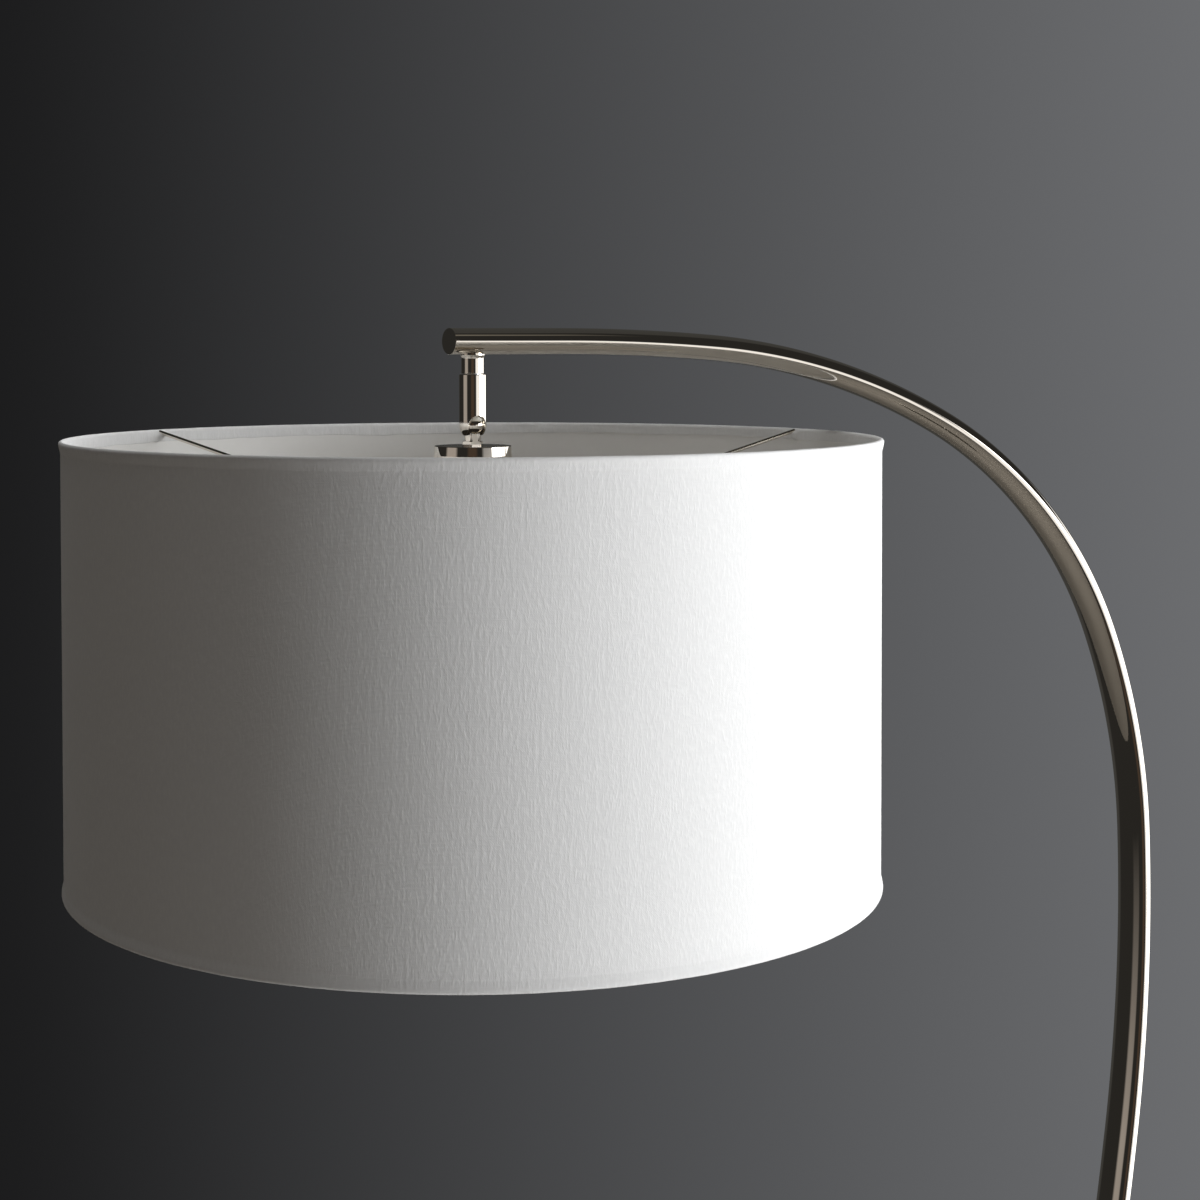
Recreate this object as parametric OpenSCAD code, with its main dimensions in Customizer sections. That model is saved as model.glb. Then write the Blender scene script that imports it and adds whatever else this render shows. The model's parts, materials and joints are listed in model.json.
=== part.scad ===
// Arc floor lamp: a round weighted base, an oval tube that leans up and curves over,
// and a drum shade that hangs from a slotted ball swivel under the arm's tip.
// Millimetres. +Z is up and z = 0 is the floor. The arc lies in the XZ plane, the pole stands
// at the origin, and the shade hangs on the -X side.

/* [Overall] */
// Height of the top of the arm above the floor
overall_h = 1676; // [1380:1:2050]
// Height at which the lower pole meets the arm tube
joint_h = 840; // [500:1:1000]

/* [Arm tube] */
// Height of the oval tube's section, in the plane of the arc
tube_h = 15; // [12:0.1:24]
// Width of the oval tube's section, across the plane of the arc
tube_w = 27.2; // [22:0.1:40]
// Wall of the oval tube
tube_wall = 1.5; // [1:0.1:2.4]
// Straight run from the shade's axis to the first bend
arm_straight = 52; // [30:1:120]
// Distance that the tip reaches past the shade's axis
tip_overhang = 14; // [12:0.5:40]
// Radii of the bends, in order from the tip to the pole
bend_radii = [1140, 384, 254, 405, 1200, 3000]; // [150:1:4000]
// Angles of the same bends
bend_angles = [4.7, 23.5, 40.8, 18.7, 9.3, 3]; // [1:0.1:60]
// Thickness of the end cap's face
cap_face = 1.5; // [1:0.1:3]
// Depth of the end cap's plug
cap_plug = 4; // [3:0.5:5]

/* [Pole joint] */
// Length of the inner sleeve that joins the two tubes
joiner_len = 120; // [60:1:200]
// Wall of the inner sleeve
joiner_wall = 2; // [1.5:0.1:2.5]
// Diameter of the grub screws
grub_d = 4; // [3:0.5:5]
// Distance of each grub screw from the joint, and from the foot
grub_offset = 30; // [15:1:50]

/* [Base] */
// Diameter of the base cover
base_d = 290; // [240:1:400]
// Height of the base, from the floor to the top of the cover
base_h = 24; // [18:1:36]
// Sheet thickness of the base cover
cover_t = 1.5; // [1:0.1:2]
// Radius of the cover's rounded edge
cover_edge_r = 4; // [2:0.5:8]
// Thickness of the floor pad
pad_t = 2.5; // [1.5:0.5:5]
// Diameter of the pole's foot flange
foot_d = 64; // [58:1:90]
// Thickness of the pole's foot flange
foot_t = 8; // [6:0.5:12]
// Length of the spigot that the pole slides over
spigot_len = 60; // [40:1:100]
// Circle of the foot bolts
foot_pcd = 36; // [34:1:38]
// Diameter of the foot bolts
bolt_d = 6; // [5:1:8]
// Diameter of the cord inlet's bore
inlet_d = 6.8; // [5:0.1:8]

/* [Swivel] */
// Diameter of the fixed collar under the arm
collar_d = 13; // [12:0.1:16]
// Length of the fixed collar below the arm
collar_len = 10.8; // [8:0.1:20]
// Diameter of the turning sleeve
sleeve_d = 15.5; // [15.5:0.1:20]
// Length of the turning sleeve
sleeve_len = 34.5; // [32:0.1:50]
// Wall of the turning sleeve
sleeve_wall = 1.25; // [1:0.05:1.5]
// Direction that the sleeve's slot faces, measured from the arm's direction
slot_az = -82; // [-180:1:180]
// Width across the corners of the ball's six-sided neck
neck_d = 9.9; // [8:0.1:10]
// Length of neck that shows below the sleeve
neck_len = 3.2; // [2:0.1:10]
// Diameter of the hollow threaded nipple
nipple_d = 10; // [8:0.1:10]
// Bore of the nipple and of the ball
nipple_bore = 7; // [5:0.1:7]

/* [Socket] */
// Diameter of the socket cup
cup_d = 44.4; // [43:0.1:60]
// Height of the socket cup
cup_h = 47; // [45:1:60]
// Wall of the socket cup
cup_t = 1.2; // [0.8:0.1:1.5]
// Inside diameter of the lamp holder's screw shell
shell_d = 26.4; // [26:0.1:27]
// Depth of the screw shell
shell_len = 26; // [20:1:30]
// Diameter of the switch knob
knob_d = 10; // [8:0.5:12]
// Length of the switch knob
knob_len = 16; // [12:1:24]

/* [Shade] */
// Diameter of the shade over its hems
shade_d = 457.6; // [300:1:560]
// Height of the shade over its hems
shade_h = 248; // [150:1:320]
// Distance from the arm's centreline down to the shade's top rim
arm_to_rim = 53.8; // [53.8:0.1:80]
// Thickness of the shade's fabric
fabric_t = 1; // [0.6:0.1:1.5]
// Thickness of the shade's stiff lining
lining_t = 0.5; // [0.3:0.1:1]
// Diameter of the shade's ring wires
ring_d = 2.2; // [2:0.1:4]
// Depth of the hem that is turned inside the shade
hem_depth = 5; // [4:0.5:10]
// Diameter of the spider's wires
spider_d = 2.5; // [2:0.1:4]
// Direction of the first of the three spider wires
spider_az = 11; // [0:1:119]

/* [Leads] */
// Diameter of the lead inside the tube
lead_d = 4; // [3:0.1:4]

/* [Hidden] */
$fn = 64;

// Clearances
touch = 0.05;                   // between pieces that slide together once, at assembly
run = 0.05;                     // radial clearance of a running fit
seam = 0.3;                     // gap between pieces that turn past each other
hair = 0.02;                    // gap between one run of a bent tube or lead and the next

// Colours
nickel = [0.80, 0.77, 0.73];
iron = [0.20, 0.20, 0.21];
zinc = [0.66, 0.68, 0.70];
brass = [0.78, 0.62, 0.32];
black = [0.06, 0.06, 0.06];
white = [0.93, 0.92, 0.90];
ivory = [0.88, 0.86, 0.80];

// Arm: the centreline, as [x, z, heading], where a heading of 0 runs along +X and 90 runs down
arm_z = overall_h - tube_h / 2;
bends = len(bend_radii);
function after_bend(p, r, a) = [
    p[0] + r * (sin(p[2] + a) - sin(p[2])),
    p[1] + r * (cos(p[2] + a) - cos(p[2])),
    p[2] + a];
function bend_start(i) = i == 0 ? [arm_straight, arm_z, 0] :
    after_bend(bend_start(i - 1), bend_radii[i - 1], bend_angles[i - 1]);
pole_top = bend_start(bends);
lean = pole_top[2];
foot_z = base_h + foot_t;
pole_run = (pole_top[1] - foot_z) / sin(lean);
lower_run = (joint_h - foot_z) / sin(lean);
upper_run = pole_run - lower_run;
shade_x = -(pole_top[0] + pole_run * cos(lean));

// Foot and base
weight_r = base_d / 2 - cover_edge_r - 0.5;
weight_top = base_h - cover_t;
cover_hole_r = 25;
foot_boss_r = cover_hole_r - 0.5;
weight_hole_r = 11;
counterbore_h = 8;
counterbore_d = 2 * bolt_d + 2;
washer_t = 1.2;
washer_gap = 0.2;
bolt_gap = 0.3;
bolt_head_d = 1.9 * bolt_d;
bolt_head_h = 5;
bolt_socket_d = 0.8 * bolt_d;
bolt_socket_h = 2;
bolt_reach = 6;
foot_recess_r = 9;
foot_bevel = 2;
channel_w = 9;
channel_h = 9;
pocket = [34, 22, 11];
inlet_rise = 1.5;
inlet_z = pad_t + inlet_rise + channel_h / 2;
bushing_r = channel_w / 2 - touch;
bushing_len = 12;
bushing_lip = 1.5;
connector = [20, 14, 8];
connector_bore_d = 3;
connector_bore_y = 3.2;
trim = 100;

// Joiner
inner_h = tube_h - 2 * tube_wall;
inner_w = tube_w - 2 * tube_wall;
joiner_h = inner_h - 2 * touch;
joiner_w = inner_w - 2 * touch;

// Grub screws
grub_inset = 0.4;
grub_len = tube_wall + joiner_wall - 2 * grub_inset;
grub_socket_d = 0.55 * grub_d;
grub_socket_h = 1.8;

// Swivel heights
arm_under_z = arm_z - tube_h / 2;
saddle_z = arm_z - inner_h / 2;
saddle_h = 2.4;
saddle_reach = 3;
nipple_nut_d = 14;
nipple_nut_h = 1.9;
nipple_top = saddle_z + saddle_h + nipple_nut_h + 0.1;
bead_d = collar_d + 1.2;
bead_h = 1.4;
seam_z = arm_under_z - collar_len;
sleeve_top = seam_z - seam;
sleeve_end = sleeve_top - sleeve_len;
sleeve_r = sleeve_d / 2;
ball_r = sleeve_r - sleeve_wall - run;
slot_w = neck_d + 0.6;
mouth_r = slot_w / 2;
ball_z = sleeve_end + sqrt(sleeve_r * sleeve_r - mouth_r * mouth_r);
plug_len = 7;
flange_t = 1.6;
flange_r = sleeve_r - sleeve_wall - 0.5;
friction_t = 0.6;
flange_top = sleeve_top - plug_len - friction_t - touch;
nipple_end = flange_top - flange_t;
seat_base = ball_z + 2.6;
seat_h = 6.5;
ball_bore = nipple_bore - 1.5;
spring_r = 4.2;
spring_wire = 0.7;

// Socket heights, measured down from the top of the cup
neck_end = sleeve_end - neck_len;
stud_d = neck_d - 2;
lock_nut_d = neck_d + 2.5;
lock_nut_h = 2.5;
cup_top = neck_end - lock_nut_h;
cup_bevel = 0.6;
cup_floor = cup_top - cup_t;
cup_nut_d = neck_d + 4;
cup_nut_h = 3;
stud_end = cup_floor - cup_nut_h - 1;
switch_top = stud_end - 0.5;
switch_h = 24;
switch_r = 16;
knob_z = switch_top - switch_h / 2;
lead_pocket = 6;
terminal_x = 9;
terminal_d = 3.5;
terminal_h = 3;
terminal_screw_d = 3.3;
terminal_screw_h = 2.6;
terminal_slot = 0.6;
socket_top = switch_top - switch_h;
socket_neck_r = 18.5;
shoulder_r = cup_d / 2 - cup_t - touch;
shoulder_h = 5;
skirt_r = 19.5;
hub_t = 2;
hub_z = cup_top - cup_h - hub_t / 2;
socket_end = hub_z - 19;
shell_z = socket_end + 0.8;
shell_wall = 0.5;
shell_floor = 1;
shell_r = shell_d / 2;
shell_hole_r = 7;
contact_r = 3.5;
contact_tip_r = 1.5;
contact_tip_h = 0.6;
contact_disc_h = 0.5;
ring_nut_h = 8;
ring_nut_r = skirt_r + 2.3;
ring_nut_rib = 0.8;
shaft_r = 2;
shaft_root = 8;
hole_r = shaft_r + run;
knob_gap = 2;
knob_bore = 8;
knob_bevel = 1;
knob_rib_r = 0.6;
knob_rib_inset = 2;

// Shade
rim_z = arm_z - arm_to_rim;
hem_wall = 0.4;
ring_r = ring_d / 2;
wrap_r = ring_r + hem_wall;
ring_line_r = shade_d / 2 - wrap_r;
fabric_r = shade_d / 2 - 1;
lining_r = fabric_r - fabric_t;
lining_in_r = lining_r - lining_t;
top_ring_z = rim_z - wrap_r;
bottom_ring_z = rim_z - shade_h + wrap_r;
wall_top = top_ring_z - wrap_r - 0.1;
wall_bottom = bottom_ring_z + wrap_r + 0.1;
hub_r = cup_d / 2 + 1.8;
hub_bore_r = skirt_r + 0.5;

// Leads
lead_r = lead_d / 2;
lead_off = joiner_h / 2 - joiner_wall - lead_r - touch;
lead_bend = 5.5;
lead_gap = 1;
lead_end = 9.5;

// The oval of the arm's section, by its height and width
module oval(h, w) {
    polygon([for (i = [0:47]) [h / 2 * cos(i * 7.5), w / 2 * sin(i * 7.5)]]);
}

// Places its children's outline along a straight run of the arm, from a point on the centreline
module straight_run(p, length) {
    translate([shade_x + p[0], 0, p[1]])
        rotate([0, 90 + p[2], 0])
            translate([0, 0, hair]) linear_extrude(height = length - hair) children();
}

// Turns its children's outline through one bend of the arm
module bend_run(p, r, a) {
    translate([shade_x + p[0] - r * sin(p[2]), 0, p[1] - r * cos(p[2])])
        rotate([90, 0, 0])
            rotate([0, 0, 90 - p[2] - a])
                rotate_extrude(angle = a - hair / r * 180 / PI, $fn = 360)
                    translate([r, 0]) children();
}

// Sweeps its children's outline round every bend
module all_bends() {
    for (i = [0:bends - 1])
        bend_run(bend_start(i), bend_radii[i], bend_angles[i]) children();
}

module tube_outline() {
    difference() {
        oval(tube_h, tube_w);
        oval(inner_h, inner_w);
    }
}

module joiner_outline() {
    difference() {
        oval(joiner_h, joiner_w);
        oval(joiner_h - 2 * joiner_wall, joiner_w - 2 * joiner_wall);
    }
}

// A point on the straight pole, at a distance below the last bend
function on_pole(s) = [pole_top[0] + s * cos(lean), pole_top[1] - s * sin(lean), lean];

// A ring with square edges
module ring(r_out, r_in, h) {
    difference() {
        cylinder(r = r_out, h = h);
        translate([0, 0, -1]) cylinder(r = r_in, h = h + 2);
    }
}

// Moves its children to the shade's axis, at a height
module on_axis(z) {
    translate([shade_x, 0, z]) children();
}

// Repeats its children at the foot's three bolts
module at_foot_bolts(z) {
    for (a = [60, 180, 300])
        rotate([0, 0, a]) translate([foot_pcd / 2, 0, z]) children();
}

// Points its children across the pole's back, at a distance down the straight pole
module at_pole_back(s, out) {
    translate([shade_x + on_pole(s)[0], 0, on_pole(s)[1]])
        rotate([0, 90 + lean, 0])
            translate([-out, 0, 0]) rotate([0, -90, 0]) children();
}

// Repeats its children at the switch's two terminals
module at_terminals() {
    for (x = [-terminal_x, terminal_x])
        on_axis(switch_top - terminal_h) translate([x, 0, 0]) children();
}

module grub_screw() {
    difference() {
        translate([0, 0, -grub_len]) cylinder(d = grub_d, h = grub_len);
        translate([0, 0, -grub_socket_h]) cylinder(d = grub_socket_d, h = grub_socket_h + 1, $fn = 6);
    }
}

module base_pad() {
    color(black) cylinder(r = weight_r - 1, h = pad_t);
}

module base_weight() {
    color(iron) difference() {
        translate([0, 0, pad_t]) cylinder(r = weight_r, h = weight_top - pad_t, $fn = 128);
        translate([0, 0, pad_t - 1]) cylinder(r = weight_hole_r, h = base_h);
        at_foot_bolts(pad_t - 1) cylinder(d = bolt_d + 2 * bolt_gap, h = base_h);
        at_foot_bolts(pad_t - 1) cylinder(d = counterbore_d, h = counterbore_h + 1);
        translate([-pocket[0] / 2, -pocket[1] / 2, pad_t - 1]) cube([pocket[0], pocket[1], pocket[2] + 1]);
        translate([0, -channel_w / 2, pad_t - 1]) cube([base_d, channel_w, channel_h + inlet_rise + 1]);
    }
}

module cover_outline() {
    r = base_d / 2;
    polygon(concat(
        [[cover_hole_r, base_h - cover_t], [cover_hole_r, base_h], [r - cover_edge_r, base_h]],
        [for (a = [75:-15:0]) [r - cover_edge_r + cover_edge_r * cos(a),
            base_h - cover_edge_r + cover_edge_r * sin(a)]],
        [[r, pad_t - 0.5], [r - cover_t, pad_t - 0.5], [r - cover_t, base_h - cover_edge_r]],
        [for (a = [15:15:75]) [r - cover_edge_r + (cover_edge_r - cover_t) * cos(a),
            base_h - cover_edge_r + (cover_edge_r - cover_t) * sin(a)]],
        [[r - cover_edge_r, base_h - cover_t]]));
}

module base_cover() {
    color(nickel) difference() {
        rotate_extrude($fn = 128) cover_outline();
        translate([base_d / 2 - 5, 0, inlet_z]) rotate([0, 90, 0])
            cylinder(r = bushing_r + touch, h = 10);
    }
}

module inlet_bushing() {
    color(black) translate([base_d / 2 - bushing_len, 0, inlet_z]) rotate([0, 90, 0]) difference() {
        union() {
            cylinder(r = bushing_r, h = bushing_len);
            translate([0, 0, bushing_len]) cylinder(r = bushing_r + 1, h = bushing_lip);
        }
        translate([0, 0, -1]) cylinder(d = inlet_d, h = bushing_len + bushing_lip + 2);
    }
}

module lead_connector() {
    color(ivory) translate([0, 0, pad_t + 0.5]) difference() {
        translate([-connector[0] / 2, -connector[1] / 2, 0]) cube(connector);
        for (y = [-connector_bore_y, connector_bore_y])
            translate([connector[0] / 2 - 4, y, 1.5]) cylinder(d = connector_bore_d, h = connector[2]);
    }
}

module pole_foot() {
    color(nickel) difference() {
        union() {
            translate([0, 0, weight_top]) cylinder(r = foot_boss_r, h = cover_t);
            translate([0, 0, base_h]) cylinder(d = foot_d, h = foot_t - foot_bevel);
            translate([0, 0, foot_z - foot_bevel])
                cylinder(d1 = foot_d, d2 = foot_d - 2 * foot_bevel, h = foot_bevel);
            straight_run(on_pole(pole_run - spigot_len), spigot_len + 2) oval(joiner_h, joiner_w);
        }
        straight_run(on_pole(pole_run - spigot_len - 1), spigot_len + foot_t + 4)
            oval(joiner_h - 2 * joiner_wall, joiner_w - 2 * joiner_wall);
        translate([0, 0, weight_top - 1]) cylinder(r = foot_recess_r, h = foot_t / 2);
        at_foot_bolts(weight_top - 1) cylinder(d = bolt_d, h = bolt_reach + 1);
        at_pole_back(pole_run - grub_offset, 0) cylinder(d = grub_d, h = tube_h);
    }
}

module foot_bolts() {
    z = pad_t + counterbore_h - washer_t;
    color(zinc) at_foot_bolts(0) {
        translate([0, 0, z - bolt_head_h]) difference() {
            cylinder(d = bolt_head_d, h = bolt_head_h, $fn = 6);
            translate([0, 0, -1]) cylinder(d = bolt_socket_d, h = bolt_socket_h + 1, $fn = 6);
        }
        translate([0, 0, z]) cylinder(d = bolt_d, h = weight_top + bolt_reach - 0.5 - z);
    }
}

module foot_washers() {
    color(zinc) at_foot_bolts(pad_t + counterbore_h - washer_t)
        ring(bolt_d, bolt_d / 2 + washer_gap, washer_t);
}

module foot_grub_screws() {
    color(zinc) at_pole_back(pole_run - grub_offset, tube_h / 2 - grub_inset) grub_screw();
}

module lower_pole() {
    color(nickel) difference() {
        straight_run(on_pole(upper_run), lower_run + tube_w) tube_outline();
        translate([-trim / 2, -trim / 2, foot_z - trim]) cube(trim);
        at_pole_back(upper_run + grub_offset, 0) cylinder(d = grub_d, h = tube_h);
        at_pole_back(pole_run - grub_offset, 0) cylinder(d = grub_d, h = tube_h);
    }
}

module pole_joiner() {
    color(zinc) difference() {
        straight_run(on_pole(upper_run - joiner_len / 2), joiner_len) joiner_outline();
        for (s = [-grub_offset, grub_offset])
            at_pole_back(upper_run + s, 0) cylinder(d = grub_d, h = tube_h);
    }
}

module joiner_grub_screws() {
    color(zinc) for (s = [-grub_offset, grub_offset])
        at_pole_back(upper_run + s, tube_h / 2 - grub_inset) grub_screw();
}

module arm_tube() {
    color(nickel) difference() {
        union() {
            straight_run([cap_face - tip_overhang, arm_z, 0], tip_overhang - cap_face + arm_straight)
                tube_outline();
            all_bends() tube_outline();
            straight_run(pole_top, upper_run) tube_outline();
        }
        on_axis(arm_under_z - 1) cylinder(d = nipple_d + 2 * touch, h = tube_h / 2);
        at_pole_back(upper_run - grub_offset, 0) cylinder(d = grub_d, h = tube_h);
    }
}

module arm_end_cap() {
    color(nickel) {
        straight_run([-tip_overhang, arm_z, 0], cap_face) oval(tube_h, tube_w);
        straight_run([cap_face - tip_overhang, arm_z, 0], cap_plug)
            oval(inner_h - 2 * touch, inner_w - 2 * touch);
    }
}

module swivel_collar() {
    color(nickel) difference() {
        union() {
            on_axis(seam_z) cylinder(d = collar_d, h = collar_len + saddle_reach);
            on_axis(arm_under_z - bead_h) cylinder(d = bead_d, h = 2 * bead_h);
        }
        straight_run([-tip_overhang, arm_z, 0], 2 * tip_overhang) oval(tube_h, tube_w);
        on_axis(seam_z - 1) cylinder(d = nipple_d + 2 * touch, h = collar_len + saddle_reach + 2);
    }
}

module saddle_washer() {
    color(zinc) difference() {
        intersection() {
            on_axis(saddle_z) cylinder(d = collar_d, h = saddle_h);
            straight_run([-tip_overhang, arm_z, 0], 2 * tip_overhang) oval(inner_h, inner_w);
        }
        on_axis(arm_under_z) cylinder(d = nipple_d + 2 * touch, h = tube_wall + saddle_h + 1);
    }
}

module hanger_nipple() {
    color(zinc) on_axis(nipple_end) ring(nipple_d / 2, nipple_bore / 2, nipple_top - nipple_end);
}

module nipple_nut() {
    color(zinc) on_axis(saddle_z + saddle_h) difference() {
        cylinder(d = nipple_nut_d, h = nipple_nut_h, $fn = 6);
        translate([0, 0, -1]) cylinder(d = nipple_d, h = nipple_nut_h + 2);
    }
}

module nipple_flange() {
    color(zinc) on_axis(nipple_end) ring(flange_r, nipple_d / 2, flange_t);
}

module lead_outline() {
    translate([-lead_off, 0]) circle(r = lead_r, $fn = 24);
}

module inner_lead() {
    bend_z = arm_z + lead_off - lead_bend;
    color(black) {
        on_axis(ball_z + ball_r + lead_gap)
            cylinder(r = lead_r, h = bend_z - hair - ball_z - ball_r - lead_gap, $fn = 24);
        translate([shade_x + lead_bend, 0, bend_z]) rotate([90, 0, 0]) rotate([0, 0, 90])
            rotate_extrude(angle = 90) translate([lead_bend, 0]) circle(r = lead_r, $fn = 24);
        straight_run([lead_bend, arm_z, 0], arm_straight - lead_bend) lead_outline();
        for (i = [0:bends - 1])
            bend_run(bend_start(i), bend_radii[i], bend_angles[i])
                translate([lead_off, 0]) circle(r = lead_r, $fn = 24);
        straight_run(pole_top, pole_run + (foot_z - pad_t - lead_end) / sin(lean)) lead_outline();
    }
}

module slot_cut() {
    rotate([0, 0, slot_az]) {
        rotate([0, 90, 0]) cylinder(d = slot_w, h = sleeve_d);
        translate([0, -slot_w / 2, -sleeve_d]) cube([sleeve_d, slot_w, sleeve_d]);
    }
}

module swivel_sleeve() {
    bore_r = sleeve_r - sleeve_wall;
    color(nickel) difference() {
        union() {
            on_axis(ball_z) cylinder(r = sleeve_r, h = sleeve_top - ball_z);
            on_axis(ball_z) sphere(r = sleeve_r);
        }
        on_axis(ball_z) cylinder(r = bore_r, h = sleeve_len);
        on_axis(ball_z) sphere(r = bore_r);
        on_axis(ball_z - sleeve_d) cylinder(r = mouth_r, h = sleeve_d);
        on_axis(ball_z) slot_cut();
    }
}

module sleeve_plug() {
    color(zinc) on_axis(sleeve_top - plug_len)
        ring(sleeve_r - sleeve_wall - touch, nipple_d / 2 + run, plug_len);
}

module friction_washer() {
    color(brass) on_axis(flange_top + touch) ring(flange_r, nipple_d / 2 + run, friction_t);
}

module ball_seat() {
    color(ivory) difference() {
        on_axis(seat_base) cylinder(r = sleeve_r - sleeve_wall - touch, h = seat_h);
        on_axis(ball_z) sphere(r = ball_r + run);
        on_axis(seat_base - 1) cylinder(d = nipple_bore, h = seat_h + 2);
    }
}

module seat_spring() {
    base = seat_base + seat_h;
    turns = floor((nipple_end - base) / (2 * spring_wire));
    pitch = (nipple_end - base) / turns;
    color(zinc) for (i = [0:turns - 1])
        on_axis(base + (i + 0.5) * pitch)
            rotate_extrude() translate([spring_r + spring_wire / 2, 0]) circle(r = spring_wire / 2, $fn = 24);
}

module swivel_ball() {
    color(nickel) difference() {
        union() {
            on_axis(ball_z) sphere(r = ball_r);
            on_axis(neck_end) cylinder(d = neck_d, h = ball_z - neck_end, $fn = 6);
            on_axis(stud_end) cylinder(d = stud_d, h = neck_end - stud_end + 1);
        }
        on_axis(stud_end - 1) cylinder(d = ball_bore, h = ball_z - stud_end + 1);
        on_axis(ball_z) cylinder(d1 = ball_bore, d2 = ball_bore + 3, h = ball_r + 1);
    }
}

module ball_lock_nut() {
    color(nickel) on_axis(cup_top) difference() {
        cylinder(d = lock_nut_d, h = lock_nut_h, $fn = 6);
        translate([0, 0, -1]) cylinder(d = stud_d, h = lock_nut_h + 2);
    }
}

module socket_cup() {
    color(nickel) difference() {
        on_axis(cup_top - cup_h) cylinder(d = cup_d, h = cup_h - cup_bevel);
        on_axis(cup_top - cup_h - 1) cylinder(d = cup_d - 2 * cup_t, h = cup_h - cup_t + 1);
        on_axis(cup_top - cup_h) cylinder(d = stud_d + 2 * touch, h = cup_h + 1);
        on_axis(knob_z) rotate([90, 0, 0]) cylinder(r = shaft_r + 1, h = cup_d);
    }
    color(nickel) on_axis(cup_top - cup_bevel) difference() {
        cylinder(d1 = cup_d, d2 = cup_d - 2 * cup_bevel, h = cup_bevel);
        translate([0, 0, -1]) cylinder(d = stud_d + 2 * touch, h = cup_bevel + 2);
    }
}

module cup_nut() {
    color(zinc) on_axis(cup_floor - cup_nut_h) difference() {
        cylinder(d = cup_nut_d, h = cup_nut_h, $fn = 6);
        translate([0, 0, -1]) cylinder(d = stud_d, h = cup_nut_h + 2);
    }
}

module switch_body() {
    color(black) difference() {
        on_axis(socket_top) cylinder(r = switch_r, h = switch_h);
        on_axis(switch_top - lead_pocket) cylinder(r = lead_r + 1, h = lead_pocket + 1);
        on_axis(knob_z) rotate([90, 0, 0]) cylinder(r = hole_r, h = switch_r + 1);
        at_terminals() cylinder(d = terminal_d, h = terminal_h + 1);
    }
}

module socket_body() {
    shoulder_z = hub_z + hub_t / 2;
    color(ivory) difference() {
        union() {
            on_axis(shoulder_z) cylinder(r = socket_neck_r, h = socket_top - shoulder_z);
            on_axis(shoulder_z) cylinder(r = shoulder_r, h = shoulder_h);
            on_axis(socket_end) cylinder(r = skirt_r, h = shoulder_z - socket_end + 1);
        }
        on_axis(shell_z - 2) cylinder(r = shell_r + shell_wall + touch, h = shell_len + 2.2);
    }
}

module screw_shell() {
    color(brass) on_axis(shell_z) difference() {
        cylinder(r = shell_r + shell_wall, h = shell_len);
        translate([0, 0, -shell_floor]) cylinder(r = shell_r, h = shell_len);
        cylinder(r = shell_hole_r, h = shell_len + 1);
    }
}

module centre_contact() {
    color(brass) on_axis(shell_z + shell_len - shell_floor) {
        translate([0, 0, contact_tip_h]) cylinder(r = contact_r, h = contact_disc_h);
        cylinder(r1 = contact_tip_r, r2 = contact_r, h = contact_tip_h);
    }
}

module socket_screws() {
    color(brass) at_terminals() difference() {
        cylinder(d = terminal_screw_d, h = terminal_screw_h);
        translate([-2, -terminal_slot / 2, terminal_screw_h - terminal_slot])
            cube([4, terminal_slot, terminal_slot + 1]);
    }
}

module socket_lead() {
    color(black) on_axis(switch_top - lead_pocket)
        cylinder(r = lead_r - 0.4, h = ball_z - switch_top + lead_pocket, $fn = 24);
}

module shade_ring_nut() {
    color(ivory) on_axis(hub_z - hub_t / 2 - ring_nut_h) difference() {
        union() {
            cylinder(r = ring_nut_r, h = ring_nut_h);
            for (a = [0:30:330])
                rotate([0, 0, a]) translate([ring_nut_r, 0, 0]) cylinder(r = ring_nut_rib, h = ring_nut_h);
        }
        translate([0, 0, -1]) cylinder(r = skirt_r + touch, h = ring_nut_h + 2);
    }
}

module spider() {
    from_r = hub_r + spider_d / 4 + hair;
    to_r = ring_line_r - ring_r;
    rise = top_ring_z - hub_z;
    reach = norm([to_r - from_r, rise]);
    color(nickel) {
        on_axis(hub_z - hub_t / 2) ring(hub_r, hub_bore_r, hub_t);
        for (i = [0:2])
            on_axis(hub_z) rotate([0, 0, spider_az + 120 * i]) translate([from_r, 0, 0])
                rotate([0, atan2(to_r - from_r, rise), 0]) cylinder(d = spider_d, h = reach, $fn = 24);
    }
}

module wire_ring(z) {
    color(nickel) on_axis(z) rotate_extrude($fn = 128)
        translate([ring_line_r, 0]) circle(r = ring_r, $fn = 24);
}

module top_ring() {
    wire_ring(top_ring_z);
}

module bottom_ring() {
    wire_ring(bottom_ring_z);
}

module shade_lining() {
    color(white) on_axis(wall_bottom) ring(lining_r, lining_in_r, wall_top - wall_bottom, $fn = 128);
}

module shade_fabric() {
    color(white) on_axis(wall_bottom) ring(fabric_r, lining_r, wall_top - wall_bottom, $fn = 128);
}

// Fabric wrapped round a ring wire, with its edge turned up or down inside the lining
module hem(side) {
    color(white) rotate_extrude($fn = 128) difference() {
        union() {
            translate([ring_line_r, 0]) circle(r = wrap_r, $fn = 24);
            translate([lining_in_r - hem_wall, side > 0 ? 0 : -hem_depth - wrap_r])
                square([hem_wall, hem_depth + wrap_r]);
        }
        translate([ring_line_r, 0]) circle(r = ring_r, $fn = 24);
    }
}

module top_hem() {
    on_axis(top_ring_z) hem(-1);
}

module bottom_hem() {
    on_axis(bottom_ring_z) hem(1);
}

module switch_shaft() {
    color(brass) on_axis(knob_z) rotate([90, 0, 0]) translate([0, 0, switch_r - shaft_root])
        cylinder(r = shaft_r, h = cup_d / 2 + knob_gap + knob_bore - switch_r + shaft_root);
}

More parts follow.
